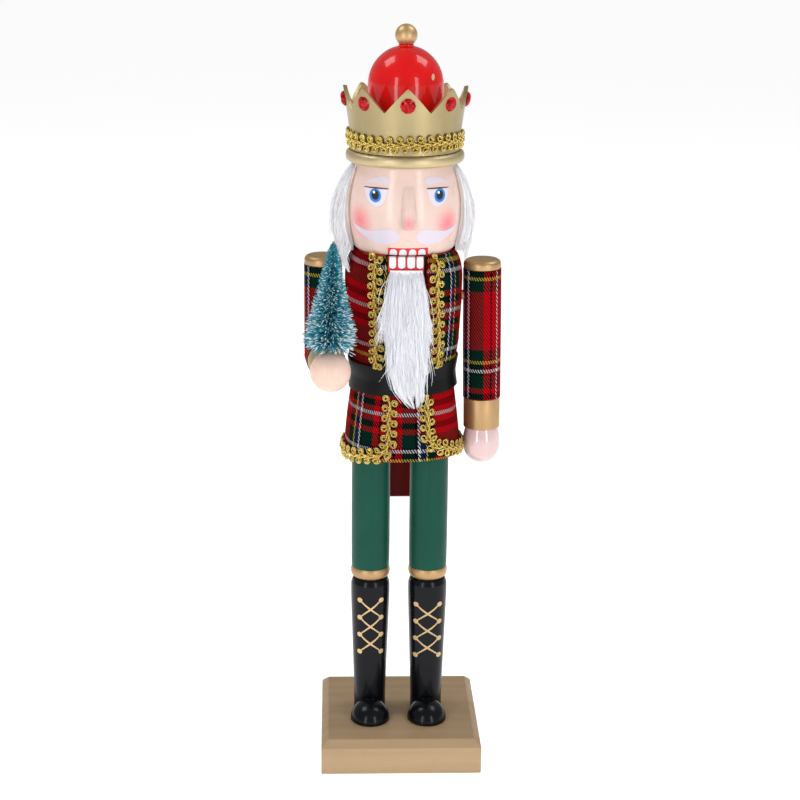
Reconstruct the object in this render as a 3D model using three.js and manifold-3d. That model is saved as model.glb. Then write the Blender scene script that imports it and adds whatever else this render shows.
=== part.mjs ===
// Nutcracker figure: a turned wooden king in a tartan coat, on a square base.
// Millimetres, +Z up, the figure faces -Y. The origin is the centre of the base's underside.
// Left and right are the figure's own, so its left side is +X.

import * as THREE from 'three';
import { mergeVertices } from 'three/addons/utils/BufferGeometryUtils.js';
import Module from 'manifold-3d';

const wasm = await Module();
wasm.setup();

// ---------------------------------------------------------------- driving dimensions

const GAP = 0.3;                  // clearance between glued neighbours
const CLOTH = 1.2;                // thickness of the coat's cloth
const SLEEVE_CLOTH = 0.8;
const BRAID_LIFT = 0.5;           // the braid's back face stands this far off the cloth
const ROUND_LARGE = 32;           // facets round the coat, head and crown
const ROUND_HIDDEN = 20;          // facets round the covered torso
const ROUND_MEDIUM = 16;          // facets round the limbs
const ROUND_SMALL = 8;           // facets round dowels and pins

const BASE = { side: 83, height: 18, chamfer: 3.6 };
const LEG_X = { left: 14.3, right: -15.8 };
const BOOT_TOP = 94.5;
const KNEE = { bottom: 94.8, top: 101.2, radius: 10.2 };
const TROUSER_TOP = 179.7;
const LEG_DOWEL = { radius: 3.5, bottom: 8.3, top: 200 };

const TORSO_BOTTOM = 180;
const TORSO_TOP = 270.9;
const WAIST = 207;                // the coat's chest and skirt meet here, under the belt
const HEM = 166.5;
const BELT = { bottom: 199.8, top: 214.6, thickness: 0.8 };

const SLOT = { width: 20, bottom: 229.5 };
const LEVER_WIDTH = 18;
const PIVOT = { y: 4, z: 256 };
const PIN = { radius: 1.9, halfLength: 24 };
const RUNNING = 0.35;             // radial clearance of the lever on its pin

const HEAD = { bottom: 271.2, top: 313.6 };
const NOSE_X = 1;
const RING = { bottom: 313.9, top: 319.5, radius: 29.3 };
const WALL = { bottom: 319.8, top: 351.4, thickness: 2 };
const CROWN_POINTS = 8;
const VALLEY = 341.2;
const GEM = { radius: 3.75, z: 343.9, height: 2.2 };
const FINIAL = { bottom: 370.7, top: 380, radius: 5.45 };

const SHOULDER = { left: 39.4, right: -40.4 };
const ARM_DOWEL = { radius: 2.5, z: 246, inner: 16, outer: 37 };
const ARM_LEAN = 0.0175;          // the straight arm leans outwards, radians

// Outer faces of the turned and wrapped pieces, as [radius, height] from the bottom up.
const CHEST_OUTLINE = [[25.8, WAIST + 0.2], [28.2, 223], [29.4, 245], [29.4, 258], [28.0, 265.4],
  [25.6, 269.6]];
const SKIRT_OUTLINE = [[30.0, HEM], [28.6, 182], [26.6, 197], [25.8, WAIST - 0.2]];
const HEAD_OUTLINE = [[24.6, HEAD.bottom], [25.8, 273.6], [27.6, 282], [28.15, 290], [27.4, 300],
  [23.8, HEAD.top]];
const WALL_OUTLINE = [[26.9, WALL.bottom], [27.4, 328], [28.7, 338], [30.75, WALL.top]];

// ---------------------------------------------------------------- finishes

const FINISHES = {
  base_paint: { color: 0xb08f62, roughness: 0.55, metalness: 0.35 },
  gold_paint: { color: 0xb98f50, roughness: 0.4, metalness: 0.6 },
  crown_gold: { color: 0xc2ab74, roughness: 0.4, metalness: 0.6 },
  black_gloss: { color: 0x1c1f24, roughness: 0.15, metalness: 0 },
  green_satin: { color: 0x2a6650, roughness: 0.35, metalness: 0 },
  tartan: { color: 0x8a2226, roughness: 0.95, metalness: 0 },
  belt_satin: { color: 0x1b1b1f, roughness: 0.4, metalness: 0 },
  gold_braid: { color: 0xc9ac3e, roughness: 0.4, metalness: 0.7 },
  lever_paint: { color: 0x6a1216, roughness: 0.4, metalness: 0 },
  skin_paint: { color: 0xf0d2c2, roughness: 0.3, metalness: 0 },
  hand_paint: { color: 0xe8c8c8, roughness: 0.15, metalness: 0 },
  white_fur: { color: 0xf2f2f0, roughness: 1, metalness: 0 },
  red_gloss: { color: 0xe01414, roughness: 0.1, metalness: 0 },
  gem_red: { color: 0xc8102e, roughness: 0.05, metalness: 0 },
  bare_wood: { color: 0xd9b98c, roughness: 0.8, metalness: 0 },
  steel: { color: 0xb8bcc0, roughness: 0.3, metalness: 1 },
  tree_bristle: { color: 0x1f7f8f, roughness: 0.9, metalness: 0 },
};

const nutcracker = new THREE.Group();

function addPart(name, geometry, finish, parent = nutcracker) {
  const mesh = new THREE.Mesh(geometry, new THREE.MeshStandardMaterial(FINISHES[finish]));
  mesh.name = name;
  parent.add(mesh);
  return mesh;
}

// ---------------------------------------------------------------- solids

// A profile of [radius, height] turned about Z, with its first facet edge towards -Y.
function turned(profile, facets) {
  const points = profile.map(([radius, height]) => new THREE.Vector2(radius, height));
  return new THREE.LatheGeometry(points, facets).rotateX(Math.PI / 2);
}

function rod(radius, bottom, top, facets = ROUND_SMALL) {
  return turned([[0, bottom], [radius, bottom], [radius, top], [0, top]], facets);
}

function rodAlongX(radius, from, to) {
  return rod(radius, from, to).rotateY(Math.PI / 2);
}

// A closed sleeve between an outer outline and an inner one, both from the bottom up.
function shell(outer, inner, facets) {
  return turned([...outer, ...inner.slice().reverse(), outer[0]], facets);
}

function box(width, depth, height, x, y, z) {
  return new THREE.BoxGeometry(width, depth, height).translate(x, y, z);
}

// An outline moved towards the axis by a distance, square to its own slope.
function inset(outline, distance) {
  return outline.map(([radius, height], i) => {
    const before = outline[Math.max(i - 1, 0)];
    const after = outline[Math.min(i + 1, outline.length - 1)];
    const along = new THREE.Vector2(after[0] - before[0], after[1] - before[1]).normalize();
    return [radius - along.y * distance, height + along.x * distance];
  });
}

function radiusAt(outline, height) {
  const next = outline.findIndex((point) => point[1] > height);
  if (next === -1) return outline[outline.length - 1][0];
  if (next === 0) return outline[0][0];
  const [lowRadius, low] = outline[next - 1];
  const [highRadius, high] = outline[next];
  return THREE.MathUtils.mapLinear(height, low, high, lowRadius, highRadius);
}

function toManifold(geometry) {
  const bare = geometry.clone();
  bare.deleteAttribute('normal');
  bare.deleteAttribute('uv');
  const merged = mergeVertices(bare, 1e-4);
  const corners = merged.index.array;
  const triangles = [];
  for (let i = 0; i < corners.length; i += 3) {
    const [a, b, c] = corners.slice(i, i + 3);
    if (a !== b && b !== c && c !== a) triangles.push(a, b, c);
  }
  return new wasm.Manifold(new wasm.Mesh({
    numProp: 3,
    vertProperties: Float32Array.from(merged.attributes.position.array),
    triVerts: Uint32Array.from(triangles),
  }));
}

function fromManifold(solid) {
  const mesh = solid.getMesh();
  const geometry = new THREE.BufferGeometry();
  geometry.setAttribute('position', new THREE.BufferAttribute(mesh.vertProperties, 3));
  geometry.setIndex(new THREE.BufferAttribute(mesh.triVerts, 1));
  return geometry;
}

function cut(geometry, ...tools) {
  let solid = toManifold(geometry);
  for (const tool of tools) solid = solid.subtract(toManifold(tool));
  return fromManifold(solid);
}

// A big box that starts half a gap before the origin and runs on in the direction.
function beyond(direction) {
  const reach = 100;
  const block = new THREE.BoxGeometry(reach, reach, reach).translate(0, 0, reach / 2 - GAP / 2);
  const turn = new THREE.Quaternion().setFromUnitVectors(new THREE.Vector3(0, 0, 1), direction);
  return block.applyQuaternion(turn);
}

// An outline in the YZ plane, given thickness along X and centred on X = 0.
function extrudedAlongX(shape, width) {
  const solid = new THREE.ExtrudeGeometry(shape, { depth: width, bevelEnabled: false, curveSegments: 5 });
  const axes = new THREE.Matrix4().makeBasis(
    new THREE.Vector3(0, 1, 0), new THREE.Vector3(0, 0, 1), new THREE.Vector3(1, 0, 0));
  return solid.applyMatrix4(axes).translate(-width / 2, 0, 0);
}

// An outline in the XZ plane, given depth from the back face towards -Y.
function extrudedToFront(shape, back, depth) {
  const solid = new THREE.ExtrudeGeometry(shape, { depth, bevelEnabled: false, curveSegments: 4 });
  const axes = new THREE.Matrix4().makeBasis(
    new THREE.Vector3(1, 0, 0), new THREE.Vector3(0, 0, 1), new THREE.Vector3(0, -1, 0));
  return solid.applyMatrix4(axes).translate(0, back, 0);
}

function polygon(points) {
  return new THREE.Shape(points.map(([x, y]) => new THREE.Vector2(x, y)));
}

// ---------------------------------------------------------------- ribbons laid on a turned face

// The path lists [angle, height]; the angle is round Z from -Y towards +X, in radians.
// The ribbon is bent to the outline, lifted a little off it.
function ribbonOn(outline, path, width, thickness) {
  const across = 3;
  const meanRadius = radiusAt(outline, path[0][1]);
  const flat = path.map(([angle, height]) => new THREE.Vector2(angle * meanRadius, height));
  const vertices = [];
  flat.forEach((point, i) => {
    const before = flat[Math.max(i - 1, 0)];
    const after = flat[Math.min(i + 1, flat.length - 1)];
    const along = after.clone().sub(before).normalize();
    for (const lift of [BRAID_LIFT, BRAID_LIFT + thickness]) {
      for (let k = 0; k <= across; k++) {
        const side = (k / across - 0.5) * width;
        const angle = (point.x - along.y * side) / meanRadius;
        const height = point.y + along.x * side;
        const radius = radiusAt(outline, height) + lift;
        vertices.push(radius * Math.sin(angle), -radius * Math.cos(angle), height);
      }
    }
  });
  return ribbonSolid(vertices, flat.length, across);
}

// Joins the rows of a ribbon: each row holds its inner points, then its outer points.
function ribbonSolid(vertices, rows, across) {
  const rowSize = 2 * (across + 1);
  const ring = [];
  for (let k = 0; k <= across; k++) ring.push(k);
  for (let k = across; k >= 0; k--) ring.push(across + 1 + k);
  const faces = [];
  const quad = (a, b, c, d) => faces.push(a, c, b, a, d, c);
  for (let row = 0; row < rows - 1; row++) {
    ring.forEach((corner, i) => {
      const next = ring[(i + 1) % ring.length];
      const here = row * rowSize;
      quad(here + corner, here + rowSize + corner, here + rowSize + next, here + next);
    });
  }
  const last = (rows - 1) * rowSize;
  for (let k = 0; k < across; k++) {
    const outer = across + 1 + k;
    quad(k, k + 1, outer + 1, outer);
    quad(last + k + 1, last + k, last + outer, last + outer + 1);
  }
  const geometry = new THREE.BufferGeometry();
  geometry.setAttribute('position', new THREE.Float32BufferAttribute(vertices, 3));
  geometry.setIndex(faces);
  return geometry;
}

// ---------------------------------------------------------------- base and legs

function addBase() {
  const corner = BASE.side / Math.SQRT2;
  const shoulder = BASE.height - BASE.chamfer;
  const inner = corner - BASE.chamfer * Math.SQRT2;
  const profile = [[0, 0], [corner, 0], [corner, shoulder], [inner, BASE.height], [0, BASE.height]];
  const block = turned(profile, 4).rotateZ(Math.PI / 4);
  const pockets = Object.values(LEG_X).map((x) => legDowelHole(x, LEG_DOWEL.bottom - GAP, BASE.height + 1));
  addPart('base_block', cut(block, ...pockets), 'base_paint');
}

function legDowelHole(x, bottom, top) {
  return rod(LEG_DOWEL.radius + GAP, bottom, top).translate(x, 0, 0);
}

// A turned leg piece with the dowel's hole all the way through it.
function boredLegPiece(outline, x) {
  const bottom = outline[0][1];
  const top = outline[outline.length - 1][1];
  const bore = LEG_DOWEL.radius + GAP;
  return shell(outline, [[bore, bottom], [bore, top]], ROUND_MEDIUM).translate(x, 0, 0);
}

function addLeg(side) {
  const x = LEG_X[side];
  const foot = BASE.height + GAP;
  const shaft = [[8.4, foot], [8.4, 30], [9.4, 61], [10.2, 87], [9.6, 92.5], [8.4, BOOT_TOP]];
  addPart(`boot_shaft_${side}`, boredLegPiece(shaft, x), 'black_gloss');

  const toe = new THREE.SphereGeometry(1, 16, 12).scale(10.4, 11.4, 10.2).translate(x, -12.9, BASE.height);
  const below = box(60, 60, 40, x, 0, foot - 20);
  const heel = rod(8.4 + GAP, 0, 40, ROUND_MEDIUM).translate(x, 0, 0);
  const behind = box(60, 60, 60, x, 30, 20);
  addPart(`boot_toe_${side}`, cut(toe, below, heel, behind), 'black_gloss');

  const middle = (KNEE.bottom + KNEE.top) / 2;
  const ring = [];
  for (let i = 0; i <= 4; i++) {
    const turn = -Math.PI / 2 + (i / 4) * Math.PI;
    ring.push([KNEE.radius - 2.6 + 2.6 * Math.cos(turn), middle + (KNEE.top - middle) * Math.sin(turn)]);
  }
  addPart(`knee_ring_${side}`, boredLegPiece(ring, x), 'gold_paint');

  const leg = [[8.6, KNEE.top + GAP], [9.9, 104], [9.9, TROUSER_TOP]];
  addPart(`trouser_leg_${side}`, boredLegPiece(leg, x), 'green_satin');

  const dowel = rod(LEG_DOWEL.radius, LEG_DOWEL.bottom, LEG_DOWEL.top).translate(x, 0, 0);
  addPart(`leg_dowel_${side}`, dowel, 'bare_wood');
}

// ---------------------------------------------------------------- torso and coat

function armDowelHoles() {
  const hole = (from, to) => rodAlongX(ARM_DOWEL.radius + GAP, from, to).translate(0, 0, ARM_DOWEL.z);
  return [
    hole(ARM_DOWEL.inner - GAP, ARM_DOWEL.outer + GAP),
    hole(-ARM_DOWEL.outer - GAP, -ARM_DOWEL.inner + GAP),
  ];
}

function addTorso() {
  const chest = inset(CHEST_OUTLINE, CLOTH + GAP);
  const hips = chest[0][0];
  const profile = [[0, TORSO_BOTTOM], [hips - 1, TORSO_BOTTOM], [hips, TORSO_BOTTOM + 2], ...chest,
    [23.8, TORSO_TOP], [0, TORSO_TOP]];
  const slotHeight = 60;
  const slot = box(SLOT.width, 80, slotHeight, 0, 0, SLOT.bottom + slotHeight / 2);
  const pinReach = PIN.halfLength + GAP;
  const pinHole = rodAlongX(PIN.radius + GAP, -pinReach, pinReach).translate(0, PIVOT.y, PIVOT.z);
  const legHoles = Object.values(LEG_X).map((x) => legDowelHole(x, TORSO_BOTTOM - 5, LEG_DOWEL.top + GAP));
  const headHoles = [-1, 1].map((side) => headDowel(side, GAP));
  const tools = [slot, pinHole, ...legHoles, ...headHoles, ...armDowelHoles()];
  addPart('torso_core', cut(turned(profile, ROUND_HIDDEN), ...tools), 'bare_wood');
}

function addCoat() {
  const chest = shell(CHEST_OUTLINE, inset(CHEST_OUTLINE, CLOTH), ROUND_LARGE);
  const frontGap = box(20.4, 60, 80, 0.6, -30, 224 + 40);
  const backGap = box(21.2, 60, 80, 0, 30, 227 + 40);
  addPart('coat_chest', cut(chest, frontGap, backGap, ...armDowelHoles()), 'tartan');

  const skirt = shell(SKIRT_OUTLINE, inset(SKIRT_OUTLINE, CLOTH), ROUND_LARGE);
  addPart('coat_skirt', skirt, 'tartan');
}

function addBelt() {
  const ribbon = [[26.9, BELT.bottom], [26.3, WAIST], [27.4, BELT.top]];
  const outer = ribbon.map(([radius, height]) => [radius + BELT.thickness, height]);
  addPart('belt_ribbon', shell(outer, ribbon, ROUND_LARGE), 'belt_satin');
}

function addChestBraids() {
  const width = 8.6;
  const thickness = 1.2;
  for (const [side, x] of [['right', -13.8], ['left', 15.1]]) {
    const path = [];
    for (const height of [216, 223, 234, 245, 258, 261.7, 265.4, 268.2]) {
      path.push([Math.asin(x / radiusAt(CHEST_OUTLINE, height)), height]);
    }
    addPart(`chest_braid_${side}`, ribbonOn(CHEST_OUTLINE, path, width, thickness), 'gold_braid');
  }
}

// Down the skirt from the belt, round a quarter turn, then along the hem to the back.
function addSkirtBraids() {
  const width = 8.4;
  const thickness = 0.9;
  const hemLine = HEM + 1.2;
  const bend = 7;
  for (const [side, sign, x] of [['right', -1, -7.2], ['left', 1, 11.2]]) {
    const start = Math.abs(Math.asin(x / radiusAt(SKIRT_OUTLINE, 190)));
    const path = [[start, BELT.bottom - GAP], [start, 190], [start, 182]];
    for (let i = 0; i <= 4; i++) {
      const turn = (i / 4) * Math.PI / 2;
      const run = bend * (1 - Math.cos(turn)) / 30;
      path.push([start + run, hemLine + bend * (1 - Math.sin(turn))]);
    }
    const [corner] = path[path.length - 1];
    const steps = 18;
    for (let i = 1; i <= steps; i++) path.push([corner + (i / steps) * (3.06 - corner), hemLine]);
    const ordered = sign > 0 ? path : path.map(([angle, height]) => [-angle, height]);
    const braid = ribbonOn(SKIRT_OUTLINE, ordered, width, thickness);
    addPart(`skirt_braid_${side}`, braid, 'gold_braid');
  }
}

// ---------------------------------------------------------------- jaw lever and beard

function addLever() {
  const outline = new THREE.Shape();
  outline.moveTo(-27.3, 240);
  outline.lineTo(-14, 240);
  outline.quadraticCurveTo(-10, 245.5, -4, 246);
  outline.lineTo(26, 243);
  outline.quadraticCurveTo(32, 242, 32.4, 234);
  outline.lineTo(34, 175);
  outline.lineTo(34.4, 126.5);
  outline.quadraticCurveTo(36.6, 123.6, 39.4, 126.5);
  outline.lineTo(40.6, 175);
  outline.lineTo(39.6, 248);
  outline.quadraticCurveTo(39, 257, 30, 258.5);
  outline.lineTo(9, 265);
  outline.quadraticCurveTo(2, 270.6, -4, 270.6);
  outline.lineTo(-27.3, 270.6);
  outline.closePath();
  const hole = new THREE.Path();
  hole.absarc(PIVOT.y, PIVOT.z, PIN.radius + RUNNING, 0, 2 * Math.PI, true);
  outline.holes.push(hole);
  addPart('jaw_lever', extrudedAlongX(outline, LEVER_WIDTH), 'lever_paint');

  const pin = rodAlongX(PIN.radius, -PIN.halfLength, PIN.halfLength).translate(0, PIVOT.y, PIVOT.z);
  addPart('jaw_pivot_pin', pin, 'steel');
}

function addBeard() {
  const root = polygon([[-8.6, 249.5], [8.8, 249.5], [8.8, 264.2], [-8.6, 264.2]]);
  addPart('beard_root', extrudedToFront(root, -27.3 - GAP, 5), 'white_fur');

  const fall = new THREE.Shape();
  fall.moveTo(-11, 238);
  fall.quadraticCurveTo(-12.5, 215, -3, 203);
  fall.quadraticCurveTo(3, 197, 6.4, 195.2);
  fall.quadraticCurveTo(9.6, 204, 10.8, 218);
  fall.lineTo(11.5, 238);
  fall.closePath();
  addPart('beard_fall', extrudedToFront(fall, -28.9, 8), 'white_fur');
}

// ---------------------------------------------------------------- head

function headDowel(side, clearance) {
  return rod(2.5 + clearance, 262 - clearance, 285 + clearance).translate(side * 16, 0, 0);
}

function addHead() {
  const profile = [[0, HEAD.bottom], ...HEAD_OUTLINE, [0, HEAD.top]];
  const block = turned(profile, ROUND_LARGE);
  addPart('head_block', cut(block, headDowel(-1, GAP), headDowel(1, GAP)), 'skin_paint');
  addPart('head_dowel_left', headDowel(1, 0), 'bare_wood');
  addPart('head_dowel_right', headDowel(-1, 0), 'bare_wood');

  const wedge = polygon([[-20, 284.6], [-32.8, 284.6], [-33.6, 286.2], [-27.4, 303.4], [-20, 303.4]]);
  const face = HEAD_OUTLINE.map(([radius, height]) => [radius + GAP, height]);
  const seat = turned([[0, HEAD.bottom], ...face, [0, HEAD.top]], ROUND_LARGE);
  const nose = cut(extrudedAlongX(wedge, 6.2).translate(NOSE_X, 0, 0), seat);
  addPart('nose_block', nose, 'skin_paint');
}

// A cap of fur glued round the sides and back, open over the face and above the lever.
function addHair() {
  const inner = [[27.6, 268.6], [28.6, 290], [28.0, 300], [24.8, 312.6]];
  const outer = [[31.0, 268.6], [34.6, 274], [35.8, 286], [32.6, 303], [28.4, 312.6]];
  const faceHalfWidth = 25.2;
  const face = box(2 * faceHalfWidth, 60, 80, 0.5, -30, 290);
  addPart('hair_wig', cut(shell(outer, inner, ROUND_LARGE), face), 'white_fur');
}

// ---------------------------------------------------------------- crown

function addCrown() {
  const middle = (RING.bottom + RING.top) / 2;
  const ring = [[0, RING.bottom], [RING.radius - 1.6, RING.bottom], [RING.radius - 0.4, RING.bottom + 1],
    [RING.radius, middle], [RING.radius - 0.4, RING.top - 1], [RING.radius - 1.6, RING.top], [0, RING.top]];
  addPart('crown_ring', turned(ring, ROUND_LARGE), 'crown_gold');

  const wall = shell(WALL_OUTLINE, inset(WALL_OUTLINE, WALL.thickness), ROUND_LARGE);
  const halfStep = Math.PI / CROWN_POINTS;
  const spread = 1.02 * WALL_OUTLINE[3][0] * Math.tan(halfStep);
  const notch = polygon([[0, VALLEY], [spread, WALL.top], [spread, WALL.top + 5],
    [-spread, WALL.top + 5], [-spread, WALL.top]]);
  const notches = [];
  for (let i = 0; i < CROWN_POINTS; i++) {
    notches.push(extrudedToFront(notch, -15, 25).rotateZ((2 * i + 1) * halfStep));
  }
  addPart('crown_wall', cut(wall, ...notches), 'crown_gold');

  const braid = [321.4, 330.8].map((height) => [radiusAt(WALL_OUTLINE, height) + GAP, height]);
  const face = braid.map(([radius, height]) => [radius + 1.1, height]);
  addPart('crown_braid', shell(face, braid, ROUND_LARGE), 'gold_braid');
}

function addGems() {
  const profile = [[0, 0], [GEM.radius, 0], [GEM.radius, 0.7], [2.3, GEM.height], [0, GEM.height]];
  const [below, above] = WALL_OUTLINE.slice(-2);
  const lean = Math.atan2(above[0] - below[0], above[1] - below[1]);
  const seat = radiusAt(WALL_OUTLINE, GEM.z) + GAP;
  for (let i = 0; i < CROWN_POINTS; i++) {
    const holder = new THREE.Group();
    holder.rotation.z = (2 * Math.PI * i) / CROWN_POINTS;
    const gem = addPart(`crown_gem_${i + 1}`, turned(profile, 8), 'gem_red', holder);
    gem.position.set(0, -seat, GEM.z);
    gem.rotation.x = Math.PI / 2 + lean;
    nutcracker.add(holder);
  }
}

function addDome() {
  const dome = { centre: 350.5, radius: 18.6, rise: 19.3, neck: 3.7 };
  const profile = [[0, WALL.bottom], [17.2, WALL.bottom], [18.4, 340]];
  const steepest = Math.acos(dome.neck / dome.radius);
  const rings = 7;
  for (let i = 0; i <= rings; i++) {
    const turn = (i / rings) * steepest;
    profile.push([dome.radius * Math.cos(turn), dome.centre + dome.rise * Math.sin(turn)]);
  }
  profile.push([dome.neck, FINIAL.bottom - GAP], [0, FINIAL.bottom - GAP]);
  addPart('crown_dome', turned(profile, 24), 'red_gloss');

  const centre = FINIAL.top - FINIAL.radius;
  const lowest = Math.asin((FINIAL.bottom - centre) / FINIAL.radius);
  const ball = [[0, FINIAL.bottom]];
  const steps = 8;
  for (let i = 0; i < steps; i++) {
    const turn = lowest + (i / steps) * (Math.PI / 2 - lowest);
    ball.push([FINIAL.radius * Math.cos(turn), centre + FINIAL.radius * Math.sin(turn)]);
  }
  ball.push([0, FINIAL.top]);
  addPart('crown_finial', turned(ball, ROUND_MEDIUM), 'gold_paint');
}

// ---------------------------------------------------------------- arms

// Heights of the straight arm, down from the top of its cap.
const STRAIGHT = { capTop: 264.5, cap: 4.6, sleeve: 71.4, cuff: 87.6 };
const ARM = { core: 8.5, cap: 9.4, sleeve: 9.6, cuff: 9.3 };

function armCap(top) {
  return [[ARM.cap, top - STRAIGHT.cap], [ARM.cap, top - 2], [ARM.cap - 0.5, top - 0.7],
    [ARM.cap - 1.8, top], [0, top]];
}

function addStraightArm() {
  const arm = new THREE.Group();
  arm.position.set(SHOULDER.left, 0, STRAIGHT.capTop);
  arm.rotation.y = -ARM_LEAN;
  nutcracker.add(arm);

  const hole = rodAlongX(ARM_DOWEL.radius + GAP + 0.1, -15, ARM_DOWEL.outer - SHOULDER.left + GAP + 0.1)
    .translate(0, 0, ARM_DOWEL.z - STRAIGHT.capTop);
  const core = turned([[0, -STRAIGHT.cuff], [ARM.cuff, -STRAIGHT.cuff], [ARM.cuff, -STRAIGHT.sleeve - GAP],
    [ARM.core, -STRAIGHT.sleeve - GAP], [ARM.core, -STRAIGHT.cap], ...armCap(0)], ROUND_MEDIUM);
  addPart('left_arm_core', cut(core, hole), 'gold_paint', arm);

  const ends = [-STRAIGHT.sleeve, -STRAIGHT.cap - GAP];
  addPart('left_sleeve', cut(sleeveTube(...ends), hole), 'tartan', arm);

  const top = -STRAIGHT.cuff - GAP;
  const hand = [[0, top - 19.4], [3.6, top - 18.7], [6.8, top - 16.7], [8.9, top - 13.4], [9.6, top - 9.6],
    [9.4, top - 5.5], [8.7, top - 2], [8.3, top], [0, top]];
  addPart('left_hand', turned(hand, ROUND_MEDIUM), 'hand_paint', arm);

  const dowel = rodAlongX(ARM_DOWEL.radius, ARM_DOWEL.inner, ARM_DOWEL.outer);
  addPart('left_arm_dowel', dowel.translate(0, 0, ARM_DOWEL.z), 'bare_wood');
}

function sleeveTube(bottom, top) {
  const inner = ARM.sleeve - SLEEVE_CLOTH;
  return shell([[ARM.sleeve, bottom], [ARM.sleeve, top]], [[inner, bottom], [inner, top]], ROUND_MEDIUM);
}

// The bent arm: its elbow is a mitre between the upper arm and the forearm.
const ELBOW = new THREE.Vector3(SHOULDER.right, 0, 215.5);
const BALL = { centre: new THREE.Vector3(-36.7, -46, 218.4), radius: 9.9 };
const FORE = { sleeve: 19.5, cuff: 37 };
const BENT_CAP_TOP = 266.4;

function addBentArm() {
  const up = new THREE.Vector3(0, 0, 1);
  const forward = BALL.centre.clone().sub(ELBOW).normalize();
  const mitre = up.clone().sub(forward).normalize();
  const overlap = -14;

  const upper = new THREE.Group();
  upper.position.copy(ELBOW);
  nutcracker.add(upper);
  const top = BENT_CAP_TOP - ELBOW.z;
  const lower = beyond(mitre.clone().negate());
  const holeFrom = -ARM_DOWEL.outer - SHOULDER.right - GAP;
  const hole = rodAlongX(ARM_DOWEL.radius + GAP, holeFrom, 15).translate(0, 0, ARM_DOWEL.z - ELBOW.z);
  const upperCore = turned([[0, overlap], [ARM.core, overlap], [ARM.core, top - STRAIGHT.cap],
    ...armCap(top)], ROUND_MEDIUM);
  addPart('right_upper_arm_core', cut(upperCore, lower, hole), 'gold_paint', upper);
  const upperSleeve = cut(sleeveTube(overlap, top - STRAIGHT.cap - GAP), lower, hole);
  addPart('right_upper_sleeve', upperSleeve, 'tartan', upper);

  const turn = new THREE.Quaternion().setFromUnitVectors(up, forward);
  const fore = new THREE.Group();
  fore.position.copy(ELBOW);
  fore.quaternion.copy(turn);
  nutcracker.add(fore);
  const behind = beyond(mitre.clone().applyQuaternion(turn.clone().invert()));
  const foreCore = turned([[0, overlap], [ARM.core, overlap], [ARM.core, FORE.sleeve + GAP],
    [ARM.cuff, FORE.sleeve + GAP], [ARM.cuff, FORE.cuff], [0, FORE.cuff]], ROUND_MEDIUM);
  addPart('right_forearm_core', cut(foreCore, behind), 'gold_paint', fore);
  addPart('right_fore_sleeve', cut(sleeveTube(overlap, FORE.sleeve), behind), 'tartan', fore);

  const reach = BALL.centre.distanceTo(ELBOW);
  const ball = new THREE.SphereGeometry(BALL.radius, 18, 12).rotateX(Math.PI / 2).translate(0, 0, reach);
  const wrist = box(40, 40, 40, 0, 0, FORE.cuff + GAP - 20);
  const socket = rod(TREE.wire + GAP, -6, 20, 8).rotateY(TREE.lean).translate(...TREE.foot);
  socket.translate(-ELBOW.x, -ELBOW.y, -ELBOW.z).applyQuaternion(turn.clone().invert());
  addPart('right_hand', cut(ball, wrist, socket), 'hand_paint', fore);

  const dowel = rodAlongX(ARM_DOWEL.radius, -ARM_DOWEL.outer, -ARM_DOWEL.inner);
  addPart('right_arm_dowel', dowel.translate(0, 0, ARM_DOWEL.z), 'bare_wood');
}

// ---------------------------------------------------------------- tree

const TREE = { foot: [-37.2, -46, 228], lean: 0.036, wire: 0.8, low: 5, coneTop: 52, tip: 54.8, radius: 13 };

function addTree() {
  const tree = new THREE.Group();
  tree.position.set(...TREE.foot);
  tree.rotation.y = TREE.lean;
  nutcracker.add(tree);
  addPart('tree_trunk', rod(TREE.wire, -5, TREE.tip, 8), 'steel', tree);
  const bore = TREE.wire + GAP;
  const outer = [[TREE.radius - 2, TREE.low], [TREE.radius, TREE.low + 2], [8.2, 23], [4, 40], [2, TREE.coneTop]];
  const bristles = shell(outer, [[bore, TREE.low], [bore, TREE.coneTop]], 16);
  addPart('tree_bristles', bristles, 'tree_bristle', tree);
}

// ---------------------------------------------------------------- assembly

addBase();
addLeg('left');
addLeg('right');
addTorso();
addCoat();
addBelt();
addChestBraids();
addSkirtBraids();
addLever();
addBeard();
addHead();
addHair();
addCrown();
addGems();
addDome();
addStraightArm();
addBentArm();
addTree();

export default nutcracker;
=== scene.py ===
import math

import bpy
import numpy as np
from mathutils import Matrix, Vector


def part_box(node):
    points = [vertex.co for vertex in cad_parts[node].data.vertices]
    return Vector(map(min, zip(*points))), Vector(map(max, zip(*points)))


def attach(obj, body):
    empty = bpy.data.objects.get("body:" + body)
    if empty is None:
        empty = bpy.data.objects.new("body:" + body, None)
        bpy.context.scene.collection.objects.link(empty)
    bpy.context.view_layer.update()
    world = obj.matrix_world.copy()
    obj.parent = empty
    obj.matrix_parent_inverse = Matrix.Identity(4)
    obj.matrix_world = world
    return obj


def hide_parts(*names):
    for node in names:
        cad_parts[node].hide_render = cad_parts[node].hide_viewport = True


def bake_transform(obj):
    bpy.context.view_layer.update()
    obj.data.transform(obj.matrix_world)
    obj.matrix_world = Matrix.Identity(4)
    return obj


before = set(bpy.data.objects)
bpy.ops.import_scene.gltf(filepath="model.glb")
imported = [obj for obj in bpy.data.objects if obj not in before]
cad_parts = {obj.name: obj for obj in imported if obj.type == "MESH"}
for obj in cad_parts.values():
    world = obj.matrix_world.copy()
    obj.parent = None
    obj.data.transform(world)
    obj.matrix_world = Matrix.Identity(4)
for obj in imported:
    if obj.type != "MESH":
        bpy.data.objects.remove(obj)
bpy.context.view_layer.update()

# Lengths below are millimetres in the frame's own axes; MM turns them into metres.
# Left and right are the figure's own, so its left side is +X. It faces -Y.
MM = 0.001
GAP = 0.3    # between a sleeve's end and the gold that follows it
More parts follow.
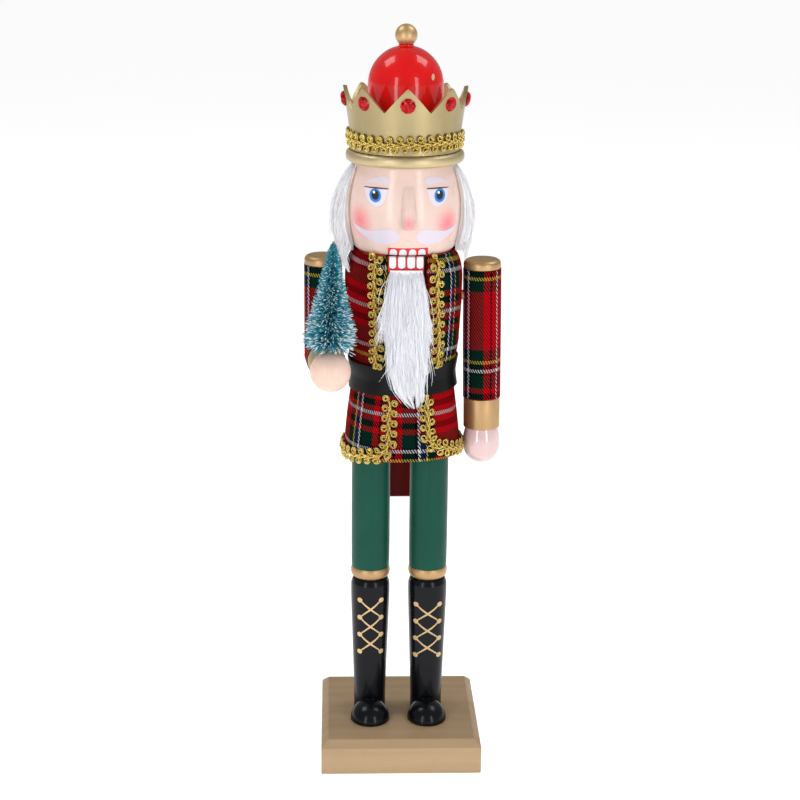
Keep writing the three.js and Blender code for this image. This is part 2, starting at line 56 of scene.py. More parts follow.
random = np.random.default_rng(24)

# ---- what the frame says


def box(node):
    """Lowest and highest corner of a CAD node, in millimetres."""
    low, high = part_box(node)
    return low / MM, high / MM


def middle(node):
    low, high = box(node)
    return (low + high) / 2


def outline_of(node, x=0.0, y=0.0):
    """The outer outline of an upright turned node, as (radius, height) from the bottom up.
    Only faces that look outwards count, and heights where few points lie belong to cuts."""
    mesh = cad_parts[node].data
    rings = {}
    for face in mesh.polygons:
        outward = Vector((face.center.x - x * MM, face.center.y - y * MM, 0)).normalized()
        if face.normal.dot(outward) < 0.05:
            continue
        for index in face.vertices:
            point = mesh.vertices[index].co / MM
            rings.setdefault(round(point.z, 1), {})[index] = math.hypot(point.x - x, point.y - y)
    outline = []
    for height, ring in sorted(rings.items()):
        widest = max(ring.values())
        if sum(radius > widest - 0.06 for radius in ring.values()) >= 12:
            outline.append((widest, height))
    return outline


def radius_at(outline, height):
    heights = [point[1] for point in outline]
    radii = [point[0] for point in outline]
    return np.interp(height, heights, radii)


def flowing(outline, steps=8):
    """More points along a smooth curve through the ones given, of any number of values each."""
    points = np.array(outline, float)
    padded = np.vstack([2 * points[0] - points[1], points, 2 * points[-1] - points[-2]])
    result = []
    for i in range(1, len(padded) - 2):
        a, b, c, d = padded[i - 1:i + 3]
        for t in np.linspace(0, 1, steps, endpoint=False):
            result.append(0.5 * (2 * b + (c - a) * t + (2 * a - 5 * b + 4 * c - d) * t ** 2
                                 + (3 * b - a - 3 * c + d) * t ** 3))
    result.append(points[-1])
    return [tuple(point) for point in result]


def rounded(outline, size, steps=4):
    """An outline with each inner corner turned into a small curve."""
    points = [np.array(point, float) for point in outline]
    result = [points[0]]
    for before, corner, after in zip(points, points[1:], points[2:]):
        back, ahead = before - corner, after - corner
        reach = min(size, 0.45 * np.linalg.norm(back), 0.45 * np.linalg.norm(ahead))
        start = corner + back / np.linalg.norm(back) * reach
        end = corner + ahead / np.linalg.norm(ahead) * reach
        for t in np.linspace(0, 1, steps + 1):
            result.append((1 - t) ** 2 * start + 2 * t * (1 - t) * corner + t ** 2 * end)
    result.append(points[-1])
    return [tuple(point) for point in result]


def capped(outline, edge=0.5):
    """An open outline closed to the axis at both ends, with a small curve at each rim."""
    return rounded([(0, outline[0][1]), *outline, (0, outline[-1][1])], edge)


def ball(radius, centre, floor, lowest, steps):
    """The outline of a ball on the axis, cut flat at its foot; lowest is the angle of the cut."""
    turns = np.linspace(lowest, math.pi / 2, steps)[:-1]
    curve = [(radius * math.cos(turn), centre + radius * math.sin(turn)) for turn in turns]
    return [(0, floor), *curve, (0, centre + radius)]


# ---- meshes


def linked(name, data):
    """A new object in the scene."""
    thing = bpy.data.objects.new(name, data)
    bpy.context.scene.collection.objects.link(thing)
    return thing


def shade(mesh, sharp):
    """Smooth shading, apart from edges that turn by more than sharp degrees."""
    mesh.polygons.foreach_set("use_smooth", [True] * len(mesh.polygons))
    mesh.set_sharp_from_angle(angle=math.radians(sharp))


def add_mesh(name, vertices, faces, material, place=None, uv=None, sharp=35):
    """A piece from points in millimetres. uv holds one pair for each corner of each face."""
    points = np.asarray(vertices, float)
    if place is not None:
        points = points @ np.array(place.to_3x3()).T + np.array(place.translation)
    mesh = bpy.data.meshes.new(name)
    mesh.from_pydata((points * MM).tolist(), [], faces)
    if uv is not None:
        mesh.uv_layers.new(name="thread").data.foreach_set("uv", np.asarray(uv, float).ravel())
    mesh.update()
    shade(mesh, sharp)
    mesh.materials.append(material)
    return linked(name, mesh)


def settle(piece, slot, *nodes, body="figure"):
    """Puts a finished piece on its body, in place of the CAD nodes it stands for."""
    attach(piece, body)
    if nodes:
        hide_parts(*nodes)
    return piece


def ladder(rings, sides):
    """Faces from each ring of points to the next, with a cap on the first ring and on the last."""
    faces = []
    for i in range(rings - 1):
        for j in range(sides):
            here, beside = i * sides + j, i * sides + (j + 1) % sides
            faces.append((here, beside, beside + sides, here + sides))
    faces.append(tuple(reversed(range(sides))))
    faces.append(tuple(range((rings - 1) * sides, rings * sides)))
    return faces


def turned(name, outline, material, place=None, segments=96):
    """A solid turned about Z. The outline starts and ends on the axis."""
    rows = outline[1:-1]
    angles = np.arange(segments) * 2 * math.pi / segments
    vertices = [(0, 0, outline[0][1])]
    for radius, height in rows:
        ring = np.column_stack([radius * np.sin(angles), -radius * np.cos(angles),
                                np.full(segments, height)])
        vertices.extend(ring)
    vertices.append((0, 0, outline[-1][1]))
    top = len(vertices) - 1
    faces = []
    for j in range(segments):
        k = (j + 1) % segments
        faces.append((0, 1 + k, 1 + j))
        faces.append((top, top - segments + j, top - segments + k))
        for i in range(len(rows) - 1):
            here = 1 + i * segments
            faces.append((here + j, here + k, here + segments + k, here + segments + j))
    return add_mesh(name, vertices, faces, material, place)


def everywhere(i, j):
    return True


def unwoven(i, j, cell):
    return (0, 0)


def shell(name, outer, inner, material, present=everywhere, weave=unwoven, wraps=True, place=None):
    """A closed skin from two grids of points, rows by columns. present says which cells are cloth,
    and weave gives the uv of a cell's corner."""
    rows, columns = outer.shape[:2]
    count = rows * columns
    cells = columns if wraps else columns - 1
    vertices = np.vstack([outer.reshape(-1, 3), inner.reshape(-1, 3)])
    faces, uv = [], []

    def add(cell, *corners):
        faces.append([(count if inside else 0) + i * columns + j % columns
                      for i, j, inside in corners])
        uv.extend(weave(i, j, cell) for i, j, _ in corners)

    def cloth(i, j):
        inside = 0 <= i < rows - 1 and (wraps or 0 <= j < cells)
        return inside and present(i, j % cells)

    for i in range(rows - 1):
        for j in range(cells):
            if not present(i, j):
                continue
            add(j, (i, j, 0), (i, j + 1, 0), (i + 1, j + 1, 0), (i + 1, j, 0))
            add(j, (i, j, 1), (i + 1, j, 1), (i + 1, j + 1, 1), (i, j + 1, 1))
            if not cloth(i - 1, j):
                add(j, (i, j, 1), (i, j + 1, 1), (i, j + 1, 0), (i, j, 0))
            if not cloth(i + 1, j):
                add(j, (i + 1, j, 0), (i + 1, j + 1, 0), (i + 1, j + 1, 1), (i + 1, j, 1))
            if not cloth(i, j - 1):
                add(j, (i, j, 0), (i + 1, j, 0), (i + 1, j, 1), (i, j, 1))
            if not cloth(i, j + 1):
                add(j, (i, j + 1, 1), (i + 1, j + 1, 1), (i + 1, j + 1, 0), (i, j + 1, 0))
    used = sorted({index for face in faces for index in face})
    renumber = {old: new for new, old in enumerate(used)}
    faces = [[renumber[index] for index in face] for face in faces]
    return add_mesh(name, vertices[used], faces, material, place, uv)


def ring_points(angles, radii, heights):
    """Points round Z; the angle runs from -Y towards +X."""
    return np.stack([radii * np.sin(angles), -radii * np.cos(angles), heights + 0 * angles], axis=-1)


def round_skin(name, radii, heights, thickness, material, weave=unwoven, place=None):
    """A skin right round Z, from grids of radii and heights. Its first column is at the back."""
    angles = from_the_back(radii.shape[1])
    outer = ring_points(angles, radii, heights)
    inner = ring_points(angles, radii - thickness, heights)
    return shell(name, outer, inner, material, weave=weave, place=place)


def from_the_back(columns):
    """Evenly spaced angles right round Z, starting at the back."""
    return (np.arange(columns) * 2 * math.pi / columns - math.pi)[None, :]


def mesh_grid(across, up):
    """A grid of flat (x, z) pairs, a row for each height."""
    return np.array([[(x, z) for x in across] for z in up])


def slab(grid, surface, lift, sink=0.25):
    """A thin closed solid laid on a surface: grid holds (x, z) pairs, rows by columns."""
    top = np.array([[surface(x, z, lift) for x, z in row] for row in grid])
    bottom = np.array([[surface(x, z, -sink) for x, z in row] for row in grid])
    rows, columns = top.shape[:2]
    count = rows * columns
    faces = []
    for i in range(rows - 1):
        for j in range(columns - 1):
            a, b = i * columns + j, (i + 1) * columns + j
            faces.append((a, a + 1, b + 1, b))
            faces.append((count + a, count + b, count + b + 1, count + a + 1))
    index = np.arange(count).reshape(rows, columns)
    rim = [*index[0], *index[1:, -1], *index[-1, -2::-1], *index[-2:0:-1, 0]]
    for here, after in zip(rim, rim[1:] + rim[:1]):
        faces.append((here, count + here, count + after, after))
    return np.vstack([top.reshape(-1, 3), bottom.reshape(-1, 3)]), faces


def joined(solids):
    """Several (vertices, faces) solids as one list of each."""
    vertices, faces = [], []
    for points, corners in solids:
        start = sum(len(block) for block in vertices)
        faces.extend(tuple(start + index for index in face) for face in corners)
        vertices.append(points)
    return np.vstack(vertices), faces


def tube(path, radius, sides=8):
    """A round cord along a path of points, closed at both ends, with its uv."""
    path = np.asarray(path, float)
    count = len(path)
    tangent = np.gradient(path, axis=0)
    tangent /= np.linalg.norm(tangent, axis=1)[:, None]
    normal = np.cross(tangent[0], (0.31, 0.17, 0.94))
    radii = np.broadcast_to(radius, count)
    angles = np.arange(sides) * 2 * math.pi / sides
    vertices = []
    for point, direction, size in zip(path, tangent, radii):
        normal = normal - direction * normal.dot(direction)
        normal = normal / np.linalg.norm(normal)
        other = np.cross(direction, normal)
        vertices.append(point + size * (np.outer(np.cos(angles), normal)
                                        + np.outer(np.sin(angles), other)))
    faces = ladder(count, sides)
    length = np.concatenate([[0], np.cumsum(np.linalg.norm(np.diff(path, axis=0), axis=1))])
    along = np.repeat(length, sides)
    uv = [(along[index], 0) for face in faces for index in face]
    return np.vstack(vertices), faces, uv


def cords(name, paths, radius, material, sides=8, place=None):
    """Several round cords as one piece."""
    solids = [tube(path, radius, sides) for path in paths]
    vertices, faces = joined([(points, corners) for points, corners, _ in solids])
    uv = [pair for _, _, pairs in solids for pair in pairs]
    return add_mesh(name, vertices, faces, material, place, uv, sharp=80)


def strands(paths, radii, sides=3):
    """Many tapering hairs. paths is strands by points by 3; the uv is (tone, way along)."""
    count, steps = paths.shape[:2]
    tangent = np.gradient(paths, axis=1)
    tangent /= np.linalg.norm(tangent, axis=2)[:, :, None] + 1e-9
    facing = random.normal(size=(count, 1, 3))
    first = np.cross(tangent, facing)
    first /= np.linalg.norm(first, axis=2)[:, :, None] + 1e-9
    second = np.cross(tangent, first)
    angles = np.arange(sides) * 2 * math.pi / sides
    size = np.broadcast_to(radii, (count, steps))[:, :, None, None]
    rings = (np.cos(angles)[:, None] * first[:, :, None, :]
             + np.sin(angles)[:, None] * second[:, :, None, :])
    vertices = (paths[:, :, None, :] + size * rings).reshape(-1, 3)
    j = np.arange(sides)
    k = (j + 1) % sides
    quad = np.stack([j, k, k + sides, j + sides], axis=1)
    ladder = (quad[None] + sides * np.arange(steps - 1)[:, None, None]).reshape(-1, 4)
    starts = steps * sides * np.arange(count)
    faces = (ladder[None] + starts[:, None, None]).reshape(-1, 4).tolist()
    faces += (starts[:, None] + j[::-1]).tolist()
    faces += (starts[:, None] + (steps - 1) * sides + j).tolist()
    tone = np.repeat(random.random(count), steps * sides)
    along = np.tile(np.repeat(np.linspace(0, 1, steps), sides), count)
    corners = np.concatenate([np.ravel(face) for face in faces])
    return vertices, faces, np.column_stack([tone, along])[corners]


# ---- materials


def linear(hex_colour):
    """A screen colour such as "c02030" as the linear colour that a shader takes."""
    channels = [int(hex_colour[i:i + 2], 16) / 255 for i in (0, 2, 4)]
    curve = [c / 12.92 if c <= 0.04045 else ((c + 0.055) / 1.055) ** 2.4 for c in channels]
    return (*curve, 1)


class Shader:
    """A node material, built a node at a time."""

    def __init__(self, name, roughness, **sockets):
        self.material = bpy.data.materials.new(name)
        self.material.use_nodes = True
        self.tree = self.material.node_tree
        self.tree.nodes.clear()
        output = self.tree.nodes.new("ShaderNodeOutputMaterial")
        self.surface = self.tree.nodes.new("ShaderNodeBsdfPrincipled")
        self.surface.inputs["Roughness"].default_value = roughness
        for socket, value in sockets.items():
            self.surface.inputs[socket.replace("_", " ")].default_value = value
        self.tree.links.new(self.surface.outputs[0], output.inputs[0])

    def set(self, node, socket, value):
        if isinstance(value, bpy.types.NodeSocket):
            self.tree.links.new(value, node.inputs[socket])
        else:
            node.inputs[socket].default_value = value

    def add(self, kind, output=0, inputs=None, **settings):
        node = self.tree.nodes.new("ShaderNode" + kind)
        for key, value in settings.items():
            setattr(node, key, value)
        for socket, value in (inputs or {}).items():
            self.set(node, socket, value)
        return node.outputs[output]

    def place(self, stretch=(1, 1, 1)):
        """The object's own coordinates in metres, stretched."""
        point = self.add("TexCoord", output="Object")
        return self.add("Mapping", inputs={"Vector": point, "Scale": stretch})

    def noise(self, scale, detail=3, stretch=(1, 1, 1)):
        inputs = {"Vector": self.place(stretch), "Scale": scale, "Detail": detail}
        return self.add("TexNoise", inputs=inputs)

    def math(self, operation, a, b=0.0):
        return self.add("Math", inputs={0: a, 1: b}, operation=operation)

    def spread(self, value, low, high, start=0.0, end=1.0):
        inputs = {"Value": value, "From Min": low, "From Max": high, "To Min": start, "To Max": end}
        return self.add("MapRange", inputs=inputs)

    def mix(self, factor, a, b, blend="MIX"):
        """Two colours mixed. A mix node's colour sockets follow those for numbers and vectors."""
        first, second, result = 6, 7, 2
        node = self.tree.nodes.new("ShaderNodeMix")
        node.data_type = "RGBA"
        node.blend_type = blend
        self.set(node, "Factor", factor)
        self.set(node, first, a)
        self.set(node, second, b)
        return node.outputs[result]

    def parts(self, vector):
        node = self.tree.nodes.new("ShaderNodeSeparateXYZ")
        self.set(node, 0, vector)
        return node.outputs

    def thread(self):
        """The uv: a cloth's place across and along its threads, or a hair's tone and way along."""
        across, along, _ = self.parts(self.add("UVMap", uv_map="thread"))
        return across, along

    def wave(self, value, length):
        """A sine wave of a given length."""
        return self.math("SINE", self.math("MULTIPLY", value, 2 * math.pi / length))

    def vary_roughness(self, scale, detail, high, roughness, roughest):
        wear = self.spread(self.noise(scale, detail), 0.3, high, roughness * 0.85, roughness * roughest)
        self.set(self.surface, "Roughness", wear)

    def bump(self, height, distance, strength=1.0):
        inputs = {"Height": height, "Distance": distance, "Strength": strength}
        self.set(self.surface, "Normal", self.add("Bump", inputs=inputs))

    def colour(self, value):
        self.set(self.surface, "Base Color", value)


def dimmed(colour, share):
    return (*[channel * share for channel in colour[:3]], 1)


def paint(name, colour, roughness, grain=0.25, depth=0.00004, mottle=0.12, **sockets):
    """Brushed-on paint over turned wood: faint grain, uneven gloss and a little mottling."""
    shader = Shader(name, roughness, **sockets)
    base = linear(colour)
    grain_lines = shader.noise(900, 4, (1, 1, 0.06))
    tone = shader.spread(shader.noise(60), 0.3, 0.7)
    even = shader.mix(tone, dimmed(base, 1 - mottle), dimmed(base, 1 + mottle / 2))
    lines = shader.math("MULTIPLY", shader.spread(grain_lines, 0.35, 0.65), grain)
    shader.colour(shader.mix(lines, even, dimmed(base, 0.8)))
    fine = shader.math("MULTIPLY", shader.noise(2500, 2), 0.35)
    shader.bump(shader.math("ADD", grain_lines, fine), depth)
    shader.vary_roughness(180, 4, 0.75, roughness, 1.25)
    return shader


def gold_paint(name, colour, roughness, metallic=0.85, mottle=0.16, brushed=(1, 1, 0.5)):
    """Metallic paint: fine bright flakes in a brushed, slightly cloudy coat."""
    shader = Shader(name, roughness, Metallic=metallic)
    base = linear(colour)
    clouds = shader.spread(shader.noise(45, 4, brushed), 0.3, 0.7)
    even = shader.mix(clouds, dimmed(base, 1 - mottle), dimmed(base, 1 + mottle))
    flakes = shader.math("MULTIPLY", shader.spread(shader.noise(4200, 1), 0.5, 0.72), 0.4)
    shader.colour(shader.mix(flakes, even, dimmed(base, 1.35)))
    shader.vary_roughness(120, 5, 0.7, roughness, 1.2)
    shader.bump(shader.noise(2200, 3, (1, 1, 0.35)), 0.00003)
    return shader


# Stripe widths in millimetres, as they follow one another across (warp) and along (weft) the cloth:
# a broad red field, then half the sett, its middle stripe and the same half turned over.
RED, GREEN, BLUE, BLACK, WHITE, YELLOW = "c20d18", "062c22", "16225a", "07080c", "ecebf0", "dcc44c"
WARP_HALF = [(GREEN, 4.4), (YELLOW, 1.2), (BLUE, 2.8), (WHITE, 1.2), (BLACK, 1.4), (GREEN, 6.5),
             (RED, 3.4), (BLACK, 0.9), (RED, 2.8)]
WEFT_HALF = [(GREEN, 5.7), (YELLOW, 1.7), (BLACK, 3.1), (WHITE, 1.7), (BLACK, 1.2), (GREEN, 6.6),
             (RED, 2.9), (BLACK, 3.1), (RED, 3.0)]
FIELD = 30.0
WARP_MIDDLE, WEFT_MIDDLE = 1.0, 1.7


def sett(half, middle_stripe):
    return [(RED, FIELD), *half, (WHITE, middle_stripe), *half[::-1]]


def stripes(shader, position, bands):
    """The colour of a yarn at a position in millimetres across its bands."""
    whole = sum(width for _, width in bands)
    share = shader.math("FRACT", shader.math("DIVIDE", position, whole))
    node = shader.tree.nodes.new("ShaderNodeValToRGB")
    ramp = node.color_ramp
    ramp.interpolation = "CONSTANT"
    start = 0.0
    for number, (colour, width) in enumerate(bands):
        stop = ramp.elements[0] if number == 0 else ramp.elements.new(start / whole)
        stop.color = linear(colour)
        start += width
    ramp.elements.remove(ramp.elements[-1])
    shader.set(node, 0, share)
    return node.outputs[0]


# How far apart the twill's diagonal ridges are across and along the cloth.
TWILL = (1.35, 2.1)


def tartan():
    """Woven tartan: a twill that shows warp and weft in turn along its diagonals, with painted shade on the
    weft, in the twill's valleys and where the yarns differ.
    """
    shader = Shader("tartan", 0.9, Specular_IOR_Level=0.02)
    wobble = shader.spread(shader.noise(250, 2), 0, 1, -0.25, 0.25)
    across, along = (shader.math("ADD", place, wobble) for place in shader.thread())
    warp = stripes(shader, across, sett(WARP_HALF, WARP_MIDDLE))
    weft = stripes(shader, along, sett(WEFT_HALF, WEFT_MIDDLE))
    rise = shader.math("DIVIDE", along, TWILL[1])
    diagonal = shader.math("FRACT", shader.math("ADD", shader.math("DIVIDE", across, TWILL[0]), rise))
    on_top = shader.math("GREATER_THAN", diagonal, 0.5)
    # Painted shade: the weft is darkened where it shows, as if it lay in the shade of the warp.
    woven_with_shaded_weft = shader.mix(on_top, shader.mix(0.22, weft, (0, 0, 0, 1)), warp)
    fuzz = shader.noise(3000, 2)
    tone = yarn_fuzz_and_shade(shader, diagonal, fuzz, warp, weft)
    fuzz_and_shade = shader.add("CombineColor", inputs={0: tone, 1: tone, 2: tone})
    shader.colour(shader.mix(1.0, woven_with_shaded_weft, fuzz_and_shade, "MULTIPLY"))
    ridge = shader.math("MULTIPLY", shader.wave(shader.math("ADD", along, across), 0.5), 0.12)
    valley = shader.math("ABSOLUTE", shader.math("SUBTRACT", diagonal, 0.5))
    height = shader.math("ADD", ridge, shader.math("PINGPONG", valley, 0.25))
    shader.bump(shader.math("ADD", height, shader.math("MULTIPLY", fuzz, 0.3)), 0.00012)
    return shader.material


def yarn_fuzz_and_shade(shader, diagonal, fuzz, warp, weft):
    """How bright the cloth is: fuzzy, darker in the twill's valleys and duller where its yarns differ, both
    of them painted shade.
    """
    # Painted shade: dark in the valleys between the twill's diagonals.
    yarn = shader.math("SINE", shader.math("MULTIPLY", diagonal, math.pi))
    tone = shader.math("MULTIPLY", shader.spread(fuzz, 0.3, 0.7, 0.72, 1.1),
                       shader.spread(yarn, 0, 0.9, 0.08, 1.0))
    # Painted shade where the warp and weft colours differ.
    contrast = shader.add("VectorMath", output="Value", inputs={0: warp, 1: weft}, operation="DISTANCE")
    return shader.math("MULTIPLY", tone, shader.spread(contrast, 0.2, 0.8, 1.0, 0.75))


def satin():
    """Black satin ribbon: fine ribs along its length and a soft sheen, with painted shade in its crease
    hollows and painted sheen on their ridges.
    """
    shader = Shader("belt_satin", 0.42, Specular_IOR_Level=0.12)
    ribs = shader.add("TexWave", inputs={"Vector": shader.place(), "Scale": 420, "Distortion": 0.6},
                      bands_direction="Z")
    creases = shader.noise(70, 3, (1, 1, 4))
    # Painted shade and sheen: the colour is darker in the creases' hollows and lighter on their ridges.
    shader.colour(shader.mix(creases, linear("050607"), linear("101114")))
    shader.bump(shader.math("ADD", shader.math("MULTIPLY", ribs, 0.3), creases), 0.00012)
    return shader.material


def gold_thread():
    """Gimp cord: a core wound with bright metallic thread, with painted shade in the grooves between its
    turns and painted glints.
    """
    shader = Shader("gold_braid", 0.27, Metallic=0.85)
    winding = shader.wave(shader.thread()[0], 0.34)
    glints = shader.spread(shader.noise(1300, 2), 0.35, 0.7)
    # Painted shade: darker in the grooves between the windings and lighter on their crests.
    between = shader.mix(shader.spread(winding, -1, 0.4), linear("8a6414"), linear("f8da66"))
    shader.colour(shader.mix(shader.math("MULTIPLY", glints, 0.5), between, linear("fbeaa6")))
    shader.bump(winding, 0.00008)
    return shader.material


def fur(name, root, tip):
    """Long synthetic fur, darker towards the roots as painted shade deep in the fur. A little glow stands for
    the light that passes between the hairs.
    """
    shader = Shader(name, 0.7, Specular_IOR_Level=0.2, Emission_Color=linear("f4f6fb"),
                    Emission_Strength=0.11)
    tone, along = shader.thread()
    # Painted shade: each hair runs from a darker root colour to its tip colour.
    length = shader.mix(shader.spread(along, 0, 0.4), linear(root), linear(tip))
    shader.colour(shader.mix(shader.spread(tone, 0, 0.3), linear("ced0d7"), length))
    shader.bump(shader.noise(1600, 3, (1, 1, 0.05)), 0.00012)
    return shader.material


def bristles():
    """Dyed teal bristles, darker at the root as painted shade inside the tree, and flocked white at many of
    the tips, most of all low down.
    """
    shader = Shader("tree_bristle", 0.6)
    tone, along = shader.thread()
    low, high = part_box("tree_bristles")
    # Painted shade: each bristle is darker at its root by the wire than at its tip.
    teal_shaded_to_root = shader.mix(shader.spread(along, 0, 0.8), linear("0c4552"), linear("2290a5"))
    bare = shader.spread(shader.parts(shader.place())[2], low.z, high.z, 0.60, 0.90)
    flocked = shader.math("GREATER_THAN", tone, bare)
    snow = shader.math("MULTIPLY", flocked, shader.spread(along, 0.74, 0.9))
    shader.colour(shader.mix(snow, teal_shaded_to_root, linear("eef6f8")))
    return shader.material


# Airbrushed spots: x, y, z of the centre, reach and strength.
BLUSH = [(-22.8, -16.8, 286.6, 11.5, 0.85), (20.4, -19.0, 285.8, 11, 0.85), (1, -33.2, 287.6, 6.5, 0.6)]


def skin():
    """Satin skin paint with airbrushed cheeks and nose tip."""
    shader = paint("skin_paint", "e3c7bc", 0.28, grain=0.05, mottle=0.02, depth=0.00001,
                   Specular_IOR_Level=0.3, Coat_Weight=0.3, Coat_Roughness=0.12)
    point = shader.add("TexCoord", output="Object")
    painted = shader.surface.inputs["Base Color"].links[0].from_socket
    for x, y, z, reach, strength in BLUSH:
        centre = (x * MM, y * MM, z * MM)
        distance = shader.add("VectorMath", output="Value", inputs={0: point, 1: centre},
                              operation="DISTANCE")
        fade = {"Value": distance, "From Min": 0, "From Max": reach * MM, "To Min": strength, "To Max": 0}
        amount = shader.add("MapRange", inputs=fade, interpolation_type="SMOOTHSTEP")
        painted = shader.mix(amount, painted, linear("ee6f7c"))
    shader.colour(painted)
    return shader.material


def gem():
    """Foil-backed red acrylic."""
    shader = Shader("gem_red", 0.12, Coat_Weight=0.12, Coat_Roughness=0.02, Specular_IOR_Level=0.12)
    depth = shader.spread(shader.noise(700, 1), 0.35, 0.65)
    shader.colour(shader.mix(depth, linear("7a0006"), linear("cf0a12")))
    return shader.material


black_gloss = paint("black_gloss", "0a0c11", 0.26, grain=0.1, depth=0.00002, Specular_IOR_Level=0.12,
                    Coat_Weight=0.12, Coat_Roughness=0.06).material
green_satin = paint("green_satin", "114c3d", 0.36, Specular_IOR_Level=0.14).material
base_gold = gold_paint("base_paint", "a98e6c", 0.5, 0.2, 0.1, (0.15, 2.5, 2.5)).material
bronze_gold = gold_paint("gold_paint", "b39267", 0.42, 0.8).material
ball_gold = gold_paint("ball_gold", "bd9e72", 0.4, 0.75).material
lace_gold = gold_paint("lace_gold", "cdae80", 0.45, 0.3).material
crown_gold = gold_paint("crown_gold", "bfae86", 0.42, 0.7).material
crown_wall_gold = gold_paint("crown_wall_gold", "a4946d", 0.34, 0.85).material
crown_lining = gold_paint("crown_lining", "ecd9a8", 0.5, 0.3).material
red_lacquer = paint("red_gloss", "d8080c", 0.3, grain=0.05, depth=0.00001, Specular_IOR_Level=0.1,
                    Coat_Weight=0.5).material
lever_red = paint("lever_paint", "5e0a0a", 0.35, Specular_IOR_Level=0.1).material
mouth_red = paint("mouth_red", "d8141a", 0.3, grain=0.05, depth=0.00001).material
bare_wood = paint("bare_wood", "d3b185", 0.7, grain=0.6, depth=0.0001).material
hand_pink = paint("hand_gloss", "dabcbc", 0.12, grain=0.05, depth=0.00001, Coat_Weight=0.8).material
hand_beige = paint("hand_satin", "eccab9", 0.38, grain=0.3).material
steel = gold_paint("steel", "b8bcc0", 0.3, 1.0).material
tree_wire = gold_paint("tree_wire", "8a9094", 0.35, 1.0).material
skin_paint = skin()
cloth = tartan()
ribbon = satin()
gimp_gold = gold_thread()
# The first colour of each fur is the painted shade at its roots.
beard_white = fur("beard_fur", "d0d2da", "f2f2f7")
hair_white = fur("hair_fur", "d2d2d8", "f2f0f2")
tree_teal = bristles()
gem_red = gem()


def face_paint(name, colour, roughness=0.35):
    return paint(name, colour, roughness, grain=0.04, mottle=0.03, depth=0.00001).material


# ---- base, legs and boots


def add_base():
    """A square block with a chamfer round its top and every edge just broken."""
    low, high = box("base_block")
    half = high.x
    chamfer, edge, corner_steps = 3.6, 0.3, 3
    profile = [(0, 0), (half, 0), (half, high.z - chamfer), (half - chamfer, high.z), (0, high.z)]
    levels = rounded(profile, edge)[1:-1]
    levels.append((half - chamfer - 1.0, high.z))
    vertices = []
    for reach, height in levels:
        for quarter, (right, back) in enumerate(((1, 1), (-1, 1), (-1, -1), (1, -1))):
            for step in range(corner_steps + 1):
                turn = (quarter + step / corner_steps) * math.pi / 2
                vertices.append(((reach - edge) * right + edge * math.cos(turn),
                                 (reach - edge) * back + edge * math.sin(turn), height))
    faces = ladder(len(levels), 4 * (corner_steps + 1))
    settle(add_mesh("base", vertices, faces, base_gold), "base_paint", "base_block")


def add_leg(side):
    x = middle(f"trouser_leg_{side}").x
    axis = Matrix.Translation((x, 0, 0))
    for node, name, material, slot in (
            ("boot_shaft", "boot", black_gloss, "black_gloss"),
            ("knee_ring", "knee_band", bronze_gold, "gold_paint"),
            ("trouser_leg", "trouser", green_satin, "green_satin")):
        outline = flowing(outline_of(f"{node}_{side}", x), 5)
        if node == "knee_ring":
            outline = barrel(outline)
        piece = turned(f"{name}_{side}", capped(outline), material, axis, 64)
        settle(piece, slot, f"{node}_{side}")
    add_toe_cap(side, x)
    add_laces(side, x)


def barrel(outline):
    """A band as wide and tall as the outline, with generously rounded rims."""
    widest, low, high = max(outline)[0], outline[0][1], outline[-1][1]
    rim = [(widest - 1.3, 0), (widest - 0.5, 0.8), (widest, 2.4)]
    return flowing([(r, low + h) for r, h in rim] + [(r, high - h) for r, h in rim[::-1]], 4)


def add_toe_cap(side, x):
    """Half an egg in front of the boot, cut flat where it stands and hollowed round the shaft."""
    low, high = box(f"boot_toe_{side}")
    floor = low.z
    half_width = (high.x - low.x) / 2
    height = high.z - floor
    length = 11.4
    rows, columns = 20, 48
    shaft = radius_at(outline_of(f"boot_shaft_{side}", x), floor) - 0.6
    vertices = []
    for i in range(rows + 1):
        rise = i / rows * math.pi / 2
        swell = math.cos(rise) ** 0.25 if i < rows else 0
        for j in range(columns):
            turn = j / columns * 2 * math.pi
            px = half_width * math.cos(rise) * math.sin(turn)
            py = low.y + length - length * math.cos(rise) * math.cos(turn)
            if py > 0 or math.hypot(px, py) < shaft:
                py = -math.sqrt(max(shaft ** 2 - px ** 2, 0))
            vertices.append((x + px * (0.9 + 0.1 * swell), py, floor + height * math.sin(rise)))
    piece = add_mesh(f"toe_cap_{side}", vertices, ladder(rows + 1, columns), black_gloss)
    settle(piece, "black_gloss", f"boot_toe_{side}")


def stroke(line, surface, lift, across=4):
    """A brush stroke: line holds (x, z, half width) points."""
    points = np.array(flowing(line, 6))
    along = np.gradient(points[:, :2], axis=0)
    along /= np.linalg.norm(along, axis=1)[:, None] + 1e-9
    grid = []
    for side in np.linspace(-1, 1, across + 1):
        offset = side * points[:, 2]
        grid.append(np.column_stack([points[:, 0] - along[:, 1] * offset,
                                     points[:, 1] + along[:, 0] * offset]))
    return slab(np.array(grid)[::-1], surface, lift)


def oval(x, z, half_width, half_height, power=2.0, low=-1.0, high=1.0):
    """A filled oval, or with a higher power a rounded square, between two of its heights."""
    rows = []
    for t in np.linspace(low, high, 13):
        reach = max(1 - abs(t) ** power, 0.0) ** (1 / power)
        rows.append([(x + half_width * max(reach, 0.03) * s, z + half_height * t)
                     for s in np.linspace(-1, 1, 9)])
    return np.array(rows)


def on_front(outline, x=0.0):
    """Lays flat (x, z) points on the front of a turned face that stands at x."""
    def surface(across, z, lift):
        radius = radius_at(outline, z) + lift
        return (x + across, -math.sqrt(max(radius ** 2 - across ** 2, 0)), z)
    return surface


